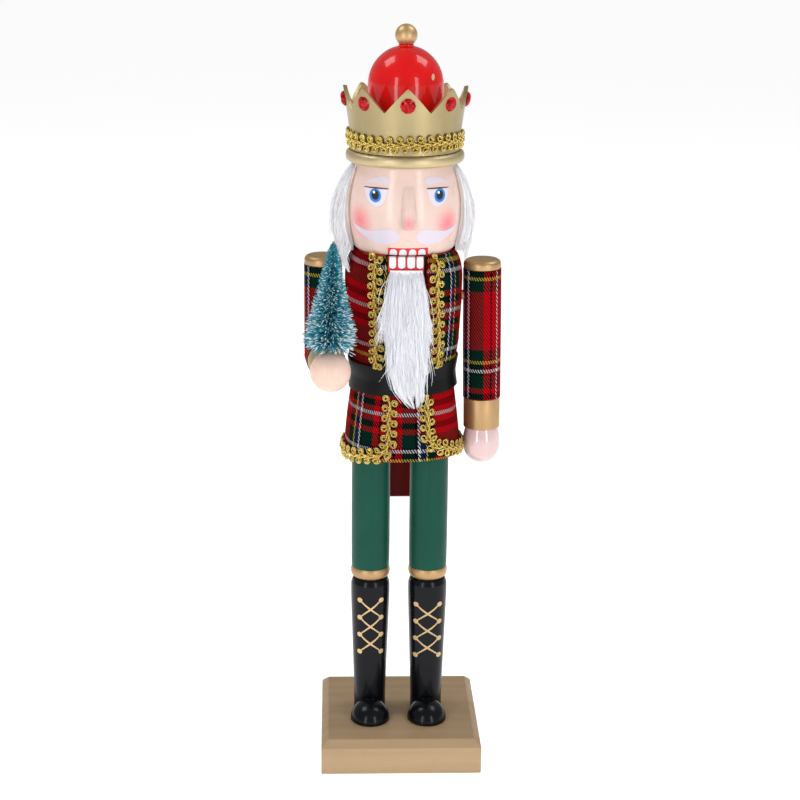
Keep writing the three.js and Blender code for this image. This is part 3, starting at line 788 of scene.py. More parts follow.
def add_laces(side, x):
    """Painted laces: three crosses between four rows of gold dots on the front of the boot."""
    surface = on_front(flowing(outline_of(f"boot_shaft_{side}", x), 5), x)
    spread, top, step = {"right": (5.6, 83.7, 9.9), "left": (6.2, 81.0, 9.8)}[side]
    sag = step * 0.25 + 0.2
    rows, dot = 4, (1.25, 1.35)
    solids = []
    for number in range(rows):
        height, below = top - step * number, top - step * (number + 1)
        for sign in (-1, 1):
            out = sign * spread
            solids.append(slab(oval(out, height, *dot), surface, 0.3))
            if number < rows - 1:
                lace = [(out, height, 0.4), (out * 0.5, height - sag, 0.42), (0, (height + below) / 2, 0.48),
                        (-out * 0.5, below + sag, 0.36), (-out, below, 0.3)]
                solids.append(stroke(lace, surface, 0.14))
    settle(add_mesh(f"boot_laces_{side}", *joined(solids), lace_gold), "gold_paint")


# ---- coat, sleeves and belt


def creased(angles, heights, size, seed):
    """A low ripple like that of cloth glued round a cylinder."""
    rng = np.random.default_rng(seed)
    total = np.zeros(np.broadcast(angles, heights).shape)
    for _ in range(9):
        turns = rng.integers(2, 11)
        slope = rng.uniform(-0.12, 0.12)
        phase = rng.uniform(0, 2 * math.pi)
        total = total + np.sin(turns * angles + slope * heights + phase) / 9
    return size * total


# How far the white stripe in the middle of the weft's sett is from the start of the red field.
WEFT_AXIS = FIELD + sum(width for _, width in WEFT_HALF) + WEFT_MIDDLE / 2
# The mean radius of each cloth, which turns an angle into a length of cloth.
CHEST_RADIUS, SKIRT_RADIUS, BELT_RADIUS, SLEEVE_RADIUS = 29.4, 28.3, 27.6, 9.6


def coat_outline(node):
    """The outside of a part of the coat, from the bottom up."""
    return sorted(flowing(outline_of(node), 6), key=lambda point: point[1])


def flat_size(radius, tall):
    return (2 * math.pi * radius * MM, tall * MM)


def plaid(radius, columns, heights, slope, across_start, along_start):
    """Where a round cloth's corners lie in the sett, in millimetres across and along it."""
    def weave(i, j, cell):
        across = radius * (2 * math.pi * j / columns - math.pi)
        height = heights[i, j % columns]
        return (across + across_start, height + slope * across + along_start)
    return weave


def chest_angles(radii, counts):
    """The corners' angles in each row: over the front opening, the left side, the back and the right."""
    cuts = [(-9.4, -1), (10.7, -1), (10.6, 1), (-10.6, 1)]
    angles = np.zeros((len(radii), sum(counts)))
    for i, radius in enumerate(radii):
        edges = [math.atan2(x, -facing * math.sqrt(radius ** 2 - x ** 2)) for x, facing in cuts]
        edges = [*edges[:3], edges[3] % (2 * math.pi), edges[0] + 2 * math.pi]
        parts = [np.linspace(a, b, n, endpoint=False) for a, b, n in zip(edges, edges[1:], counts)]
        angles[i] = np.concatenate(parts)
    return angles


def add_chest():
    """The coat's chest, open above the belt in front of the lever and behind it."""
    outline = flowing(outline_of("coat_chest"), 6)
    low, high = outline[0][1], outline[-1][1]
    rising = [after for before, after in zip(outline, outline[1:]) if after[1] - before[1] > 0.05]
    fine = np.linspace(low, high + 0.7, 46)
    radii = radius_at([outline[0], *rising], fine)
    front_low, back_low = 224, 227
    counts = [10, 66, 12, 66]
    angles = chest_angles(radii, counts)
    front_end, back_start, seam = np.cumsum(counts)[:3]
    full = np.hstack([angles, angles[:, :1] + 2 * math.pi])

    def present(i, j):
        if j < front_end:
            return fine[i + 1] < front_low
        if back_start <= j < seam:
            return fine[i + 1] < back_low
        return True

    def weave(i, j, cell):
        across = CHEST_RADIUS * (full[i, j] - (2 * math.pi if cell >= seam else 0))
        return (across + 45.5, 0.92 * (fine[i] - 244) + 0.064 * across + WEFT_AXIS)

    outer_radii = radii[:, None] + creased(angles, fine[:, None], 0.25, 3)
    outer = ring_points(angles, outer_radii, fine[:, None])
    inner = ring_points(angles, outer_radii - 1.2, fine[:, None] - 0.1)
    piece = shell("chest_cloth", outer, inner, cloth, present, weave)
    settle(piece, "tartan", "coat_chest")
    around, tall = flat_size(CHEST_RADIUS, high - low)


def add_skirt():
    """The coat's skirt: it ripples and dips more towards its hem."""
    outline = outline_of("coat_skirt")
    low, high = outline[0][1], outline[-1][1]
    fine = np.linspace(low, high, 30)[:, None]
    columns = 160
    angles = from_the_back(columns)
    flare = (high - fine) / (high - low)
    radii = radius_at(flowing(outline, 6), fine) + creased(angles, fine, 0.8, 8) * flare
    heights = fine + 0.5 * np.sin(3 * angles + 1.0) * flare
    weave = plaid(SKIRT_RADIUS, columns, fine + 0 * angles, 0.02, 64.0, WEFT_AXIS - 190.2)
    piece = round_skin("skirt_cloth", radii, heights, 1.2, cloth, weave)
    settle(piece, "tartan", "coat_skirt")
    flat_size(SKIRT_RADIUS, high - low)


def add_belt():
    """A ribbon laid a little askew, with soft creases across it."""
    low, high = box("belt_ribbon")
    fine = np.linspace(low.z, high.z, 14)[:, None]
    angles = from_the_back(160)
    radii = radius_at(outline_of("belt_ribbon"), fine) + creased(angles, fine * 3, 0.5, 5)
    heights = fine + 0.7 * np.sin(angles + 0.6)
    piece = round_skin("belt", radii, heights, 0.6, ribbon)
    settle(piece, "belt_satin", "belt_ribbon")
    flat_size(BELT_RADIUS, high.z - low.z)


def add_sleeve(name, node, place, bottom, top, across_start, along_start, seed):
    """A tube of tartan round an arm. bottom gives the height of its lower edge at each angle."""
    columns, rows = 72, 40
    angles = from_the_back(columns)
    lower = np.array([bottom(angle) for angle in angles[0]])
    share = np.linspace(0, 1, rows)[:, None]
    heights = lower * (1 - share) + top * share
    radii = SLEEVE_RADIUS + creased(angles, heights, 0.2, seed)
    weave = plaid(SLEEVE_RADIUS, columns, heights, 0.0, across_start, along_start)
    piece = round_skin(name, radii, heights, 0.8, cloth, weave, place)
    settle(piece, "tartan", node)
    around, longest = flat_size(SLEEVE_RADIUS, float(np.max(top - lower)))


# ---- gimp braid


# The gimp's repeat, its scrolls' outer and inner radius, how far each lies off the middle line and
# how often it curls round, and the radius of its cord, all in millimetres.
PITCH = 5.0
SCROLL = {"radius": 1.75, "eye": 0.62, "offset": 2.38, "turns": 1.6}
CORD = 0.52


def beside(line, lengths, s, across):
    """Points on a flat line at lengths s along it, moved across it."""
    s = np.clip(s, 0, lengths[-1])
    here, ahead, behind = (
        np.array([np.interp(np.clip(s + step, 0, lengths[-1]), lengths, line[:, k]) for k in (0, 1)])
        for step in (0, 0.6, -0.6))
    along_u, along_z = ahead - behind
    size = np.hypot(along_u, along_z) + 1e-9
    return here[0] - along_z / size * across, here[1] + along_u / size * across


def gimp(name, line, wrap):
    """Scroll gimp along a flat line of (u, z) points: cords that run up the middle, then curl out
    to each side in turn."""
    line = np.array(line, float)
    lengths = np.concatenate([[0], np.cumsum(np.linalg.norm(np.diff(line, axis=0), axis=1))])
    repeats = max(round(lengths[-1] / PITCH), 1)
    pitch = lengths[-1] / repeats
    crossing = np.linspace(0, 1, 8)
    curl = np.linspace(0, 1, 26)
    turn = 2 * math.pi * SCROLL["turns"] * curl
    size = SCROLL["radius"] + (SCROLL["eye"] - SCROLL["radius"]) * curl
    inner = SCROLL["offset"] - SCROLL["radius"]
    across = np.concatenate([inner * crossing - (1 - crossing), SCROLL["offset"] - size * np.cos(turn)])
    lift = np.concatenate([0.9 + 0.9 * np.sin(math.pi * crossing ** 0.7), 0.95 + 0.5 * curl])
    paths = []
    for number in range(2 * repeats):
        side = 1 if number % 2 else -1
        centre = pitch * (number + 0.5) / 2
        s = np.concatenate([centre - pitch * (1.3 - 1.15 * crossing), centre + size * np.sin(turn)])
        paths.append(wrap(*beside(line, lengths, s, side * across), lift))
    return cords(name, paths, CORD, gimp_gold, 7)


def wrapped(outline, mean):
    """Lays flat (u, z) points on a turned face, lifted off it."""
    def wrap(u, z, lift):
        return ring_points(u / mean, radius_at(outline, z) + lift, z)
    return wrap


def add_chest_braids():
    outline = coat_outline("coat_chest")
    mean = 29.0
    for side, x, top in (("right", -14.0, 271.4), ("left", 15.3, 270.6)):
        line = []
        for height in np.linspace(214.2, top, 40):
            drift = 0.5 * math.sin((height - 214) / 9)
            line.append((mean * math.asin((x + drift) / radius_at(outline, height)), height))
        piece = gimp(f"chest_gimp_{side}", line, wrapped(outline, mean))
        settle(piece, "gold_braid", f"chest_braid_{side}")


def skirt_line(x, corner_height, side_height):
    """From the belt down the skirt's front edge, round a bend, and along the hem to the back."""
    top, bend = 200.4, 9.0
    start, end = SKIRT_RADIUS * math.asin(x / 28.0), 3.03 * SKIRT_RADIUS
    line = [(start, height) for height in np.linspace(top, corner_height + bend, 16)]
    for turn in np.linspace(0, math.pi / 2, 14)[1:]:
        line.append((start + bend * (1 - math.cos(turn)), corner_height + bend * (1 - math.sin(turn))))
    last = line[-1][0]
    for share in np.linspace(0, 1, 90)[1:]:
        u = last + share * (end - last)
        height = corner_height + (side_height - corner_height) * min(share * 3.2, 1) ** 0.8
        line.append((u, height + 0.35 * math.sin(u / 6)))
    return line


def add_skirt_braids():
    """The two braids aren't laid quite alike: x, and the hem line's height at the corner and side."""
    wrap = wrapped(coat_outline("coat_skirt"), SKIRT_RADIUS)
    hem = box("coat_skirt")[0].z
    right = [(-u, z) for u, z in skirt_line(7.2, hem + 2.4, hem - 0.2)][::-1]
    left = skirt_line(11.2, hem + 6.2, hem + 1.4)
    for side, line in (("right", right), ("left", left)):
        settle(gimp(f"skirt_gimp_{side}", line, wrap), "gold_braid", f"skirt_braid_{side}")


def add_crown_braid():
    low, high = box("crown_braid")
    mean = 28.2
    level = (low.z + high.z) / 2 - 0.9
    around = np.linspace(-0.5, 0.5, 160) * 2 * math.pi * mean
    line = [(u, level + 0.4 * math.sin(u / 11)) for u in around]
    settle(gimp("crown_gimp", line, wrapped(wall_outline(), mean)), "gold_braid", "crown_braid")


# ---- crown


# How many points the crown has, with a gem on each.
POINTS = 8


def wall_outline():
    """The outer outline of the crown's wall, up to its points."""
    whole_rings = [point for point in outline_of("crown_wall") if point[1] < 338.5]
    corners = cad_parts["crown_wall"].data.vertices
    tip = max(math.hypot(corner.co.x, corner.co.y) for corner in corners) / MM
    return flowing([*whole_rings, (tip, box("crown_wall")[1].z)], 6)


def add_crown():
    """A turned band, the zigzag wall on it, and the wall's pale lining."""
    outline = flowing(outline_of("crown_ring"), 5)
    settle(turned("crown_band", capped(outline, 0.8), crown_gold, None, 128), "crown_gold", "crown_ring")

    outline = wall_outline()
    low, high = box("crown_wall")
    valley, thickness = 340.0, 1.9
    columns, rows = POINTS * 24, 40
    angles = np.arange(columns)[None, :] * 2 * math.pi / columns
    zigzag = np.abs(((angles * POINTS / math.pi) % 2) - 1)
    # the points are cut a little lower towards the back
    tips = high.z + 0.4 + 1.6 * np.cos(angles)
    tops = valley + (tips - valley) * np.clip(zigzag, 0.015, 0.975)
    share = np.linspace(0, 1, rows)[:, None]

    def skin(name, material, inset, depth, top, drop):
        heights = low.z * (1 - share) + top * share
        radii = radius_at(outline, heights) - inset
        outer = ring_points(angles, radii, heights)
        inner = ring_points(angles, radii - depth, heights - drop * share)
        return shell(name, outer, inner, material)

    settle(skin("crown_points", crown_wall_gold, 0, thickness, tops, 0.15), "crown_gold", "crown_wall")
    settle(skin("crown_lining", crown_lining, thickness + 0.02, 0.12, tops - 0.5, 0), "crown_gold")


def gem_solid():
    """A round stone with a flat table and two rows of facets."""
    sides = 10
    vertices, faces = [], []
    for radius, height, shift in ((3.75, 0, 0), (3.75, 0.55, 0), (3.05, 1.5, 0.5), (2.0, 2.1, 0)):
        for j in range(sides):
            turn = (j + shift) / sides * 2 * math.pi
            vertices.append((radius * math.cos(turn), radius * math.sin(turn), height))
    low, mid, star, top = (ring * sides for ring in range(4))
    for j in range(sides):
        k = (j + 1) % sides
        faces += [(low + j, low + k, mid + k, mid + j), (mid + j, mid + k, star + j),
                  (mid + k, star + k, star + j), (star + j, star + k, top + k),
                  (star + j, top + k, top + j)]
    faces += [tuple(reversed(range(sides))), tuple(range(top, top + sides))]
    return vertices, faces


def add_gems():
    """Stick-on gems that lean back with the crown's wall."""
    lean, sunk = math.radians(8.7), 1.35
    for number in range(1, POINTS + 1):
        node = f"crown_gem_{number}"
        centre = middle(node)
        level = Vector((centre.x, centre.y, 0)).normalized()
        up = Vector((0, 0, 1)) * math.cos(lean) + level * math.sin(lean)
        out = level * math.cos(lean) - Vector((0, 0, 1)) * math.sin(lean)
        place = Matrix((up.cross(out), up, out)).transposed().to_4x4()
        place.translation = centre - out * sunk
        piece = add_mesh(f"gem_{number}", *gem_solid(), gem_red, place, sharp=5)
        piece.data.polygons.foreach_set("use_smooth", [False] * len(piece.data.polygons))
        settle(piece, "gem_red", node)


def add_dome():
    """The dome, the chip in its paint that bares the wood, and the ball on top."""
    outline = outline_of("crown_dome")
    outline = flowing(outline[:-1], 6) + [outline[-1]]
    settle(turned("dome", capped(outline, 0.3), red_lacquer, None, 128), "red_gloss", "crown_dome")
    chip = slab(oval(12.6, 355.9, 0.8, 1.6, 1.7), on_front(outline), 0.12)
    settle(add_mesh("dome_chip", *chip, bare_wood), "red_gloss")
    low, high = box("crown_finial")
    radius = (high.x - low.x) / 2
    centre = high.z - radius
    curve = ball(radius, centre, low.z, math.asin((low.z - centre) / radius), 28)
    settle(turned("finial", curve, ball_gold, None, 64), "gold_paint", "crown_finial")


# ---- head and face


def head_outline():
    return flowing(outline_of("head_block"), 8)


def add_head():
    outline = head_outline()
    settle(turned("head", capped(outline, 0.3), skin_paint, None, 128), "skin_paint", "head_block")
    add_nose(on_front(outline))
    add_face(on_front(outline))


def softened(name, node, material, width, segments):
    """A copy of a CAD node with its sharp edges rounded over."""
    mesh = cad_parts[node].data.copy()
    mesh.materials.clear()
    mesh.materials.append(material)
    piece = linked(name, mesh)
    weld = piece.modifiers.new("weld", "WELD")
    weld.merge_threshold = 0.02 * MM
    flat = piece.modifiers.new("flat", "DECIMATE")
    flat.decimate_type = "DISSOLVE"
    flat.angle_limit = math.radians(1)
    bevel = piece.modifiers.new("bevel", "BEVEL")
    bevel.width = width * MM
    bevel.segments = segments
    bevel.limit_method = "ANGLE"
    bevel.angle_limit = math.radians(30)
    graph = bpy.context.evaluated_depsgraph_get()
    final = bpy.data.meshes.new_from_object(piece.evaluated_get(graph))
    piece.modifiers.clear()
    piece.data = final
    final.name = name
    shade(final, 40)
    return piece


def add_nose(surface):
    """A wedge that grows out of the forehead and ends in a rounded tip over the moustache."""
    low, high = box("nose_block")
    middle_x, half = (low.x + high.x) / 2, (high.x - low.x) / 2
    heights = [low.z - 0.3, low.z, low.z + 0.5, low.z + 1.6, low.z + 3.0, high.z, high.z + 3.0]
    reaches = [-0.3, 3.2, 4.9, 5.7, 5.4, 0.6, -0.3]
    sunk = 0.35

    def on_nose(x, z, lift):
        if lift < 0:
            return surface(x, z, -0.8)
        share = min(abs(x - middle_x) / half, 1)
        return surface(x, z, (np.interp(z, heights, reaches) + sunk) * (1 - share ** 3) ** 0.6 - sunk)

    tip_top = heights[4]
    across = middle_x + half * np.sin(np.linspace(-math.pi / 2, math.pi / 2, 25))
    up = [*np.linspace(heights[0], tip_top, 16)[:-1], *np.linspace(tip_top, heights[-1], 30)]
    solid = slab(mesh_grid(across, up), on_nose, 0.02)
    settle(add_mesh("nose", *solid, skin_paint, sharp=60), "skin_paint", "nose_block")


def both_sides(line, end, left_end, stretch, surface, lift):
    """A stroke on the figure's right cheek, and its mirror image measured from its own inner end."""
    left = [(left_end + (end - x) * stretch, z, width) for x, z, width in line]
    return [stroke(line, surface, lift), stroke(left[::-1], surface, lift)]


def painted_eyes(surface):
    """For each eye: where its white and iris lie, the iris's and pupil's half widths, and its lash."""
    eyes = [(-14.7, -15.1, 2.75, 1.75, [(-20.3, 303.7, 0.14), (-14.5, 303.85, 0.3), (-8.8, 303.9, 0.2)]),
            (15.4, 16.2, 2.65, 1.65, [(9.9, 304.0, 0.2), (15.2, 303.85, 0.3), (20.6, 303.5, 0.14)])]
    whites, irises, pupils, glints, lashes = [], [], [], [], []
    for white_x, x, iris, pupil, lash in eyes:
        whites.append(slab(oval(white_x, 303.7, 5.4, 8.6, 1.9, -1, 0), surface, 0.10))
        irises.append(slab(oval(x, 300.3, iris, 3.35), surface, 0.16))
        pupils.append(slab(oval(x, 300.5, pupil, 2.25), surface, 0.22))
        glints.append(slab(oval(x - 0.6, 301.8, 0.55, 0.65), surface, 0.28))
        lashes.append(stroke(lash, surface, 0.26))
    return [("eye_whites", whites, "ded6e2"), ("irises", irises, "2a80d6"), ("pupils", pupils, "1d2228"),
            ("eye_glints", glints, "ffffff"), ("lashes", lashes, "33231f")]


def painted_brows(surface):
    brow = [(-20.2, 305.4, 0.12), (-17, 306.9, 0.75), (-14, 307.6, 1.4), (-11, 307.6, 1.85),
            (-9, 307.0, 1.5), (-8.4, 306.6, 0.5)]
    moustache = [(-3.4, 281.3, 0.5), (-4.2, 281.1, 2.1), (-6.5, 280.8, 3.3), (-10, 280.4, 3.8),
                 (-14.5, 280.2, 3.2), (-19, 280.9, 1.9), (-22.7, 282.6, 1.0), (-26.0, 285.2, 0.12)]
    solids = both_sides(brow, -8.4, 9.2, 0.93, surface, 0.10)
    solids += both_sides(moustache, -3.4, 5.0, 0.93, surface, 0.12)
    return [("brows_and_moustache", solids, "dacfdc")]


def painted_mouth(surface):
    """The upper gum and the four teeth that end at the foot of the head."""
    low = box("head_block")[0].z
    gum = mesh_grid(np.linspace(-8.8, 10.8, 15), np.linspace(low + 0.02, 275.0, 5))
    teeth = [slab(oval(x, low + 0.04, 1.85, 3.2, 2.8, 0, 1), surface, 0.16) for x in (-6.15, -1.45, 3.2, 7.8)]
    return [("gums", [slab(gum, surface, 0.08)], "dc161c"), ("upper_teeth", teeth, "f2eff2")]


def painted_edge(surface):
    """The line between the painted face and the hair."""
    outline = head_outline()
    line = ((311.5, 0.2), (303, 0.28), (295, 0.3), (286, 0.28), (278, 0.22), (273, 0.15))
    edges = []
    for sign in (-1, 1):
        edge = [(sign * 0.972 * radius_at(outline, height), height, half) for height, half in line]
        edges.append(stroke(edge, surface, 0.08))
    return [("face_edge", edges, "c99a72")]


def add_face(surface):
    """Everything that is painted on the face, as thin slabs."""
    for layers in (painted_eyes, painted_brows, painted_mouth, painted_edge):
        for name, solids, colour in layers(surface):
            settle(add_mesh(name, *joined(solids), face_paint(name, colour)), "skin_paint")


# ---- jaw lever


def add_lever():
    """The lever, with the painted mouth and teeth on its front and over its top edge, the lip."""
    settle(softened("lever", "jaw_lever", lever_red, 0.4, 3), "lever_paint", "jaw_lever", body="jaw")
    low, high = box("jaw_lever")
    gum_foot, tooth_foot, lip_depth = 263.6, 265.2, 3.4

    def on_jaw(x, z, lift):
        return (x, low.y - lift, z)

    def on_lip(x, depth, lift):
        return (x, low.y + depth, high.z + lift)

    across = np.linspace(-8.6, 8.6, 5)
    plate = [slab(mesh_grid(across, np.linspace(gum_foot, high.z, 5)), on_jaw, 0.08),
             slab(mesh_grid(across, np.linspace(0, lip_depth, 3)), on_lip, 0.08)]
    settle(add_mesh("jaw_paint", *joined(plate), mouth_red), "lever_paint", body="jaw")
    half_tall = (high.z - tooth_foot) / 1.7
    teeth = []
    for x, half in ((-6.5, 1.6), (-2.1, 1.75), (2.5, 1.85), (6.8, 1.6)):
        teeth.append(slab(oval(x, tooth_foot + half_tall, half, half_tall, 4, -1, 0.7), on_jaw, 0.2))
        teeth.append(slab(oval(x, 1.2, half, 1.4, 6), on_lip, 0.16))
    white = face_paint("lower_teeth", "f2eff2")
    settle(add_mesh("lower_teeth", *joined(teeth), white), "lever_paint", body="jaw")


# ---- fur


def combed(surface, start, end, rise, steps=7):
    """Hairs lying along a surface. start and end are (place across, height) arrays; rise is how far
    each tip stands off. surface(across, height, lift) gives the points."""
    t = np.linspace(0, 1, steps)[None, :]
    across = start[0][:, None] + (end[0] - start[0])[:, None] * t ** 1.3
    height = start[1][:, None] + (end[1] - start[1])[:, None] * t
    wave = 0.12 * np.sin(2 * math.pi * (t * random.uniform(0.6, 1.6, (len(rise), 1))
                                        + random.random((len(rise), 1))))
    lift = 0.1 + rise[:, None] * (0.9 * t ** 0.7 - 0.35 * t ** 2) + wave * t
    return surface(across, height, lift)


def tufts(count, start_box, end_box, bulge_box, steps=7):
    """Loose wisps: each hair runs from a point in one box to a point in another, by way of a bulge."""
    boxes = (start_box, end_box, bulge_box)
    start, end, bulge = (random.uniform(low, high, (count, 3))[:, None] for low, high in boxes)
    t = np.linspace(0, 1, steps)[None, :, None]
    return start * (1 - t) + end * t + bulge * np.sin(math.pi * t) ** 0.8 * (1 - t) ** 0.4


# Height, centre, half width and thickness of the beard, from the tip up.
BEARD = np.array([(195.2, 5.2, 0.8, 4.0), (199, 4.0, 3.4, 5.5), (205, 2.4, 6.6, 7.5),
                  (214, 1.4, 9.0, 8.8), (228, 1.0, 10.2, 9.3), (240, 0.8, 10.4, 8.8),
                  (250, 0.4, 9.8, 7.4), (258, 0.3, 9.2, 5.0), (264.4, 0.2, 8.8, 2.6)])
# The uv of dense fur: a hair's tone, and a place along it.
DENSE = (0.9, 0.6)
# A hair's radius from its root to its tip.
TAPER = np.array([0.15, 0.17, 0.17, 0.16, 0.14, 0.11, 0.04])


def on_beard(back, share):
    """The face of the beard; across runs from -1 to 1, and share scales it about its middle."""
    def surface(across, height, lift):
        centre, half, depth = (np.interp(height, BEARD[:, 0], BEARD[:, k]) for k in (1, 2, 3))
        turn = np.clip(across, -1.1, 1.1) * math.pi / 2
        x = centre + (half * share + lift) * np.sign(turn) * np.abs(np.sin(turn)) ** 0.9
        y = back - 0.3 - (depth * share + lift) * np.maximum(np.cos(turn), 0) ** 0.6
        return np.stack(np.broadcast_arrays(x, y, height), axis=-1)
    return surface


def beard_core(back):
    """The dense fur under the loose hairs."""
    surface = on_beard(back, 0.9)
    foot, rows, columns = 204, 40, 28
    heights = np.linspace(foot, BEARD[-1][0], rows)[:, None]
    across = np.linspace(-1, 1, columns)[None, :]
    points = surface(across, heights, 0)
    return points.reshape(-1, 3), ladder(rows, columns)


def add_beard():
    """Fur glued along the jaw under the teeth, hanging loose over the chest."""
    back = box("jaw_lever")[0].y - 0.2
    count = 4600
    across = random.uniform(-0.98, 0.98, count)
    height = 264.2 - 58 * random.random(count)
    lock = 0.1 * np.sin(across * 17 + height / 9) + 0.06 * np.sin(across * 41)
    ragged = 7 * np.sin(across * 8 + 0.5) ** 2
    low = np.maximum(height - random.uniform(9, 24, count), 195.2 + ragged + random.exponential(1.5, count))
    low = np.minimum(low, height - 3)
    end = across + 0.5 * lock + random.normal(0, 0.04, count)
    stray = random.random(count) < 0.1
    rise = random.exponential(0.7, count) + 0.35 + stray * random.exponential(1.6, count)
    paths = combed(on_beard(back, 0.88), (across, height), (end, low), rise)
    loose = [tufts(60, ((-8.5, back - 1.5, 248), (-5.5, back - 0.2, 258)),
                   ((-15.5, back - 5, 226), (-9.5, back - 2, 240)), ((-1.5, -4, -2), (-0.5, -2, 0))),
             tufts(50, ((6, back - 1.5, 246), (8.5, back - 0.2, 256)),
                   ((9.5, back - 5, 224), (14.5, back - 2, 238)), ((0.5, -4, -2), (1.5, -2, 0))),
             tufts(60, ((-9, back - 2, 238), (10, back - 0.5, 240)),
                   ((-13, back - 5, 208), (15, back - 2, 226)), ((-1, -8, -2), (1, -5, 0)))]
    paths = np.concatenate([paths, *loose])
    paths[:, :, 1] = np.minimum(paths[:, :, 1], back - 0.05)
    vertices, faces, uv = strands(paths, TAPER)
    core_points, core_faces = beard_core(back)
    vertices, faces = joined([(core_points, core_faces), (vertices, faces)])
    core_uv = [DENSE] * sum(len(face) for face in core_faces)
    piece = add_mesh("beard", vertices, faces, beard_white, uv=np.vstack([core_uv, uv]), sharp=180)
    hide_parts("beard_root", "beard_fall")
    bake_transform(piece)


# Height and thickness of the hair beside the head, from its tips up.
HAIR = np.array([(256, 2.0), (262, 4.6), (267, 7.2), (272, 8.4), (279, 8.7), (290, 7.4),
                 (301, 5.4), (309, 3.0), (313, 1.0)])
# The angle from the middle of the face to where the hair begins.
HAIR_EDGE = math.radians(79)


def on_hair(outline, fullness):
    """The outside of the hair; the angle runs from the face towards the back of the head."""
    def surface(angle, height, lift):
        past_edge = math.pi - HAIR_EDGE - np.abs(np.abs(angle) - math.pi)
        edge = np.clip(past_edge / 0.4, 0, 1) ** 0.6
        head = radius_at(outline, np.maximum(height, 273))
        thickness = np.interp(height, HAIR[:, 0], HAIR[:, 1]) * fullness * (0.25 + 0.75 * edge)
        radius = np.maximum(head + 0.15 + thickness, np.where(height < 271.5, 30.6, 0)) + lift
        return ring_points(angle, radius, height)
    return surface


def add_side_hair(outline, side, sign, fullness, longer, curl):
    """The hair of one side. longer and curl say how its front lock hangs down and bends forward."""
    count = 4000
    turn = HAIR_EDGE + (math.pi - HAIR_EDGE) * random.random(count) ** 1.2
    height = 312.8 - 41 * random.random(count)
    front = np.clip(1 - (turn - HAIR_EDGE) / 0.4, 0, 1)
    lock = 1.6 * np.sin(turn * 29 + 1) + 1.2 * np.sin(turn * 53)
    floor = 268.8 - longer * front ** 0.7 + np.maximum(lock, 0) * (1 - front)
    low = np.maximum(height - random.uniform(10, 26, count), floor + random.exponential(0.8, count))
    low = np.minimum(low, height - 3)
    end = turn + random.normal(0, 0.03, count) + 0.01 * lock
    end = end - front * curl * np.clip((277 - low) / 12, 0, 1)
    end = np.clip(end, HAIR_EDGE - 0.3, math.pi + 0.05)
    stray = random.random(count) < 0.08
    rise = random.exponential(0.5, count) + 0.25 + stray * random.exponential(1.0, count)
    paths = combed(on_hair(outline, fullness), (sign * turn, height), (sign * end, low), rise)
    vertices, faces, uv = strands(paths, TAPER)
    piece = add_mesh(f"hair_{side}", vertices, faces, hair_white, uv=uv, sharp=180)
    settle(piece, "white_fur", "hair_wig")


def add_hair():
    """Fur from under the crown, hanging round the sides and back of the head."""
    outline = head_outline()
    add_side_hair(outline, "right", -1, 1.0, 8.5, 0.28)
    add_side_hair(outline, "left", 1, 0.82, 3.0, 0.12)
    add_hair_backing(outline)


def add_hair_backing(outline):
    """The dense fur next to the head, under the loose hairs."""
    rows, columns = 36, 120
    angles = np.linspace(HAIR_EDGE + 0.02, 2 * math.pi - HAIR_EDGE - 0.02, columns)[None, :]
    heights = np.linspace(269.6, 312.8, rows)[:, None]
    fullness = np.where(angles < math.pi, 0.8, 0.98) + 0 * heights
    folded = np.where(angles < math.pi, angles, angles - 2 * math.pi)
    outer = on_hair(outline, fullness)(folded, heights + 0 * angles, -0.25)
    head = radius_at(outline, np.maximum(heights, 273)) + 0.1 + 0 * angles
    inner = ring_points(folded, head, heights)
    groove = 0.22 * np.sin(angles * 70 + 3 * np.sin(heights / 9)) + 0.15 * np.sin(angles * 151)
    outward = outer * (1, 1, 0) / np.linalg.norm(outer[..., :2], axis=-1, keepdims=True)
    outer = outer + outward * groove[..., None]
    piece = shell("hair_backing", outer, inner, hair_white, weave=lambda *corner: DENSE, wraps=False)
    settle(piece, "white_fur")


# ---- arms and hands


# The gold shoulder cap's outline, measured from its top, and the radii of the arm under the sleeve
# and at the cuff.
CAP_EDGE = [(9.4, -4.6), (9.4, -1.9), (8.9, -0.8), (7.6, 0), (0, 0)]
CAP = 4.6
CORE, CUFF = 8.4, 9.3


def add_straight_arm():
    """The cap is the top of the frame's arm core, and the arm leans out towards the hand."""
    low, high = box("left_arm_core")
    lean = 0.0175
    top = Vector((39.4, 0, high.z - 0.14))
    place = Matrix.Translation(top) @ Matrix.Rotation(-lean, 4, "Y")
    cuff, sleeve, core = 87.6, 71.4, CORE + 0.1
    outline = [(0, -cuff), (CUFF, -cuff), (CUFF, -sleeve - GAP), (core, -sleeve - GAP), (core, -CAP),
               *CAP_EDGE]
    settle(turned("left_arm", rounded(outline, 0.5), bronze_gold, place, 72), "gold_paint", "left_arm_core")
    add_sleeve("sleeve_left", "left_sleeve", place,
               lambda angle: -sleeve + 0.25 * math.sin(5 * angle), -CAP - 0.2, 47.5, 15 - (234.3 - top.z), 11)
    hand = [(3.8, -18.8), (6.9, -16.8), (8.9, -13.5), (9.6, -9.6), (9.45, -5.5), (8.8, -2), (8.3, 0)]
    start = -cuff - 0.1
    curve = flowing([(0, start - 19.5), *[(r, start + h) for r, h in hand]], 5) + [(0, start)]
    settle(turned("hand_left", curve, hand_pink, place, 72), "hand_gloss", "left_hand")


def mitred(normal):
    """The sleeve's edge where a plane through the elbow cuts it."""
    def bottom(angle):
        x, y = SLEEVE_RADIUS * math.sin(angle), -SLEEVE_RADIUS * math.cos(angle)
        return -(normal.x * x + normal.y * y) / normal.z
    return bottom


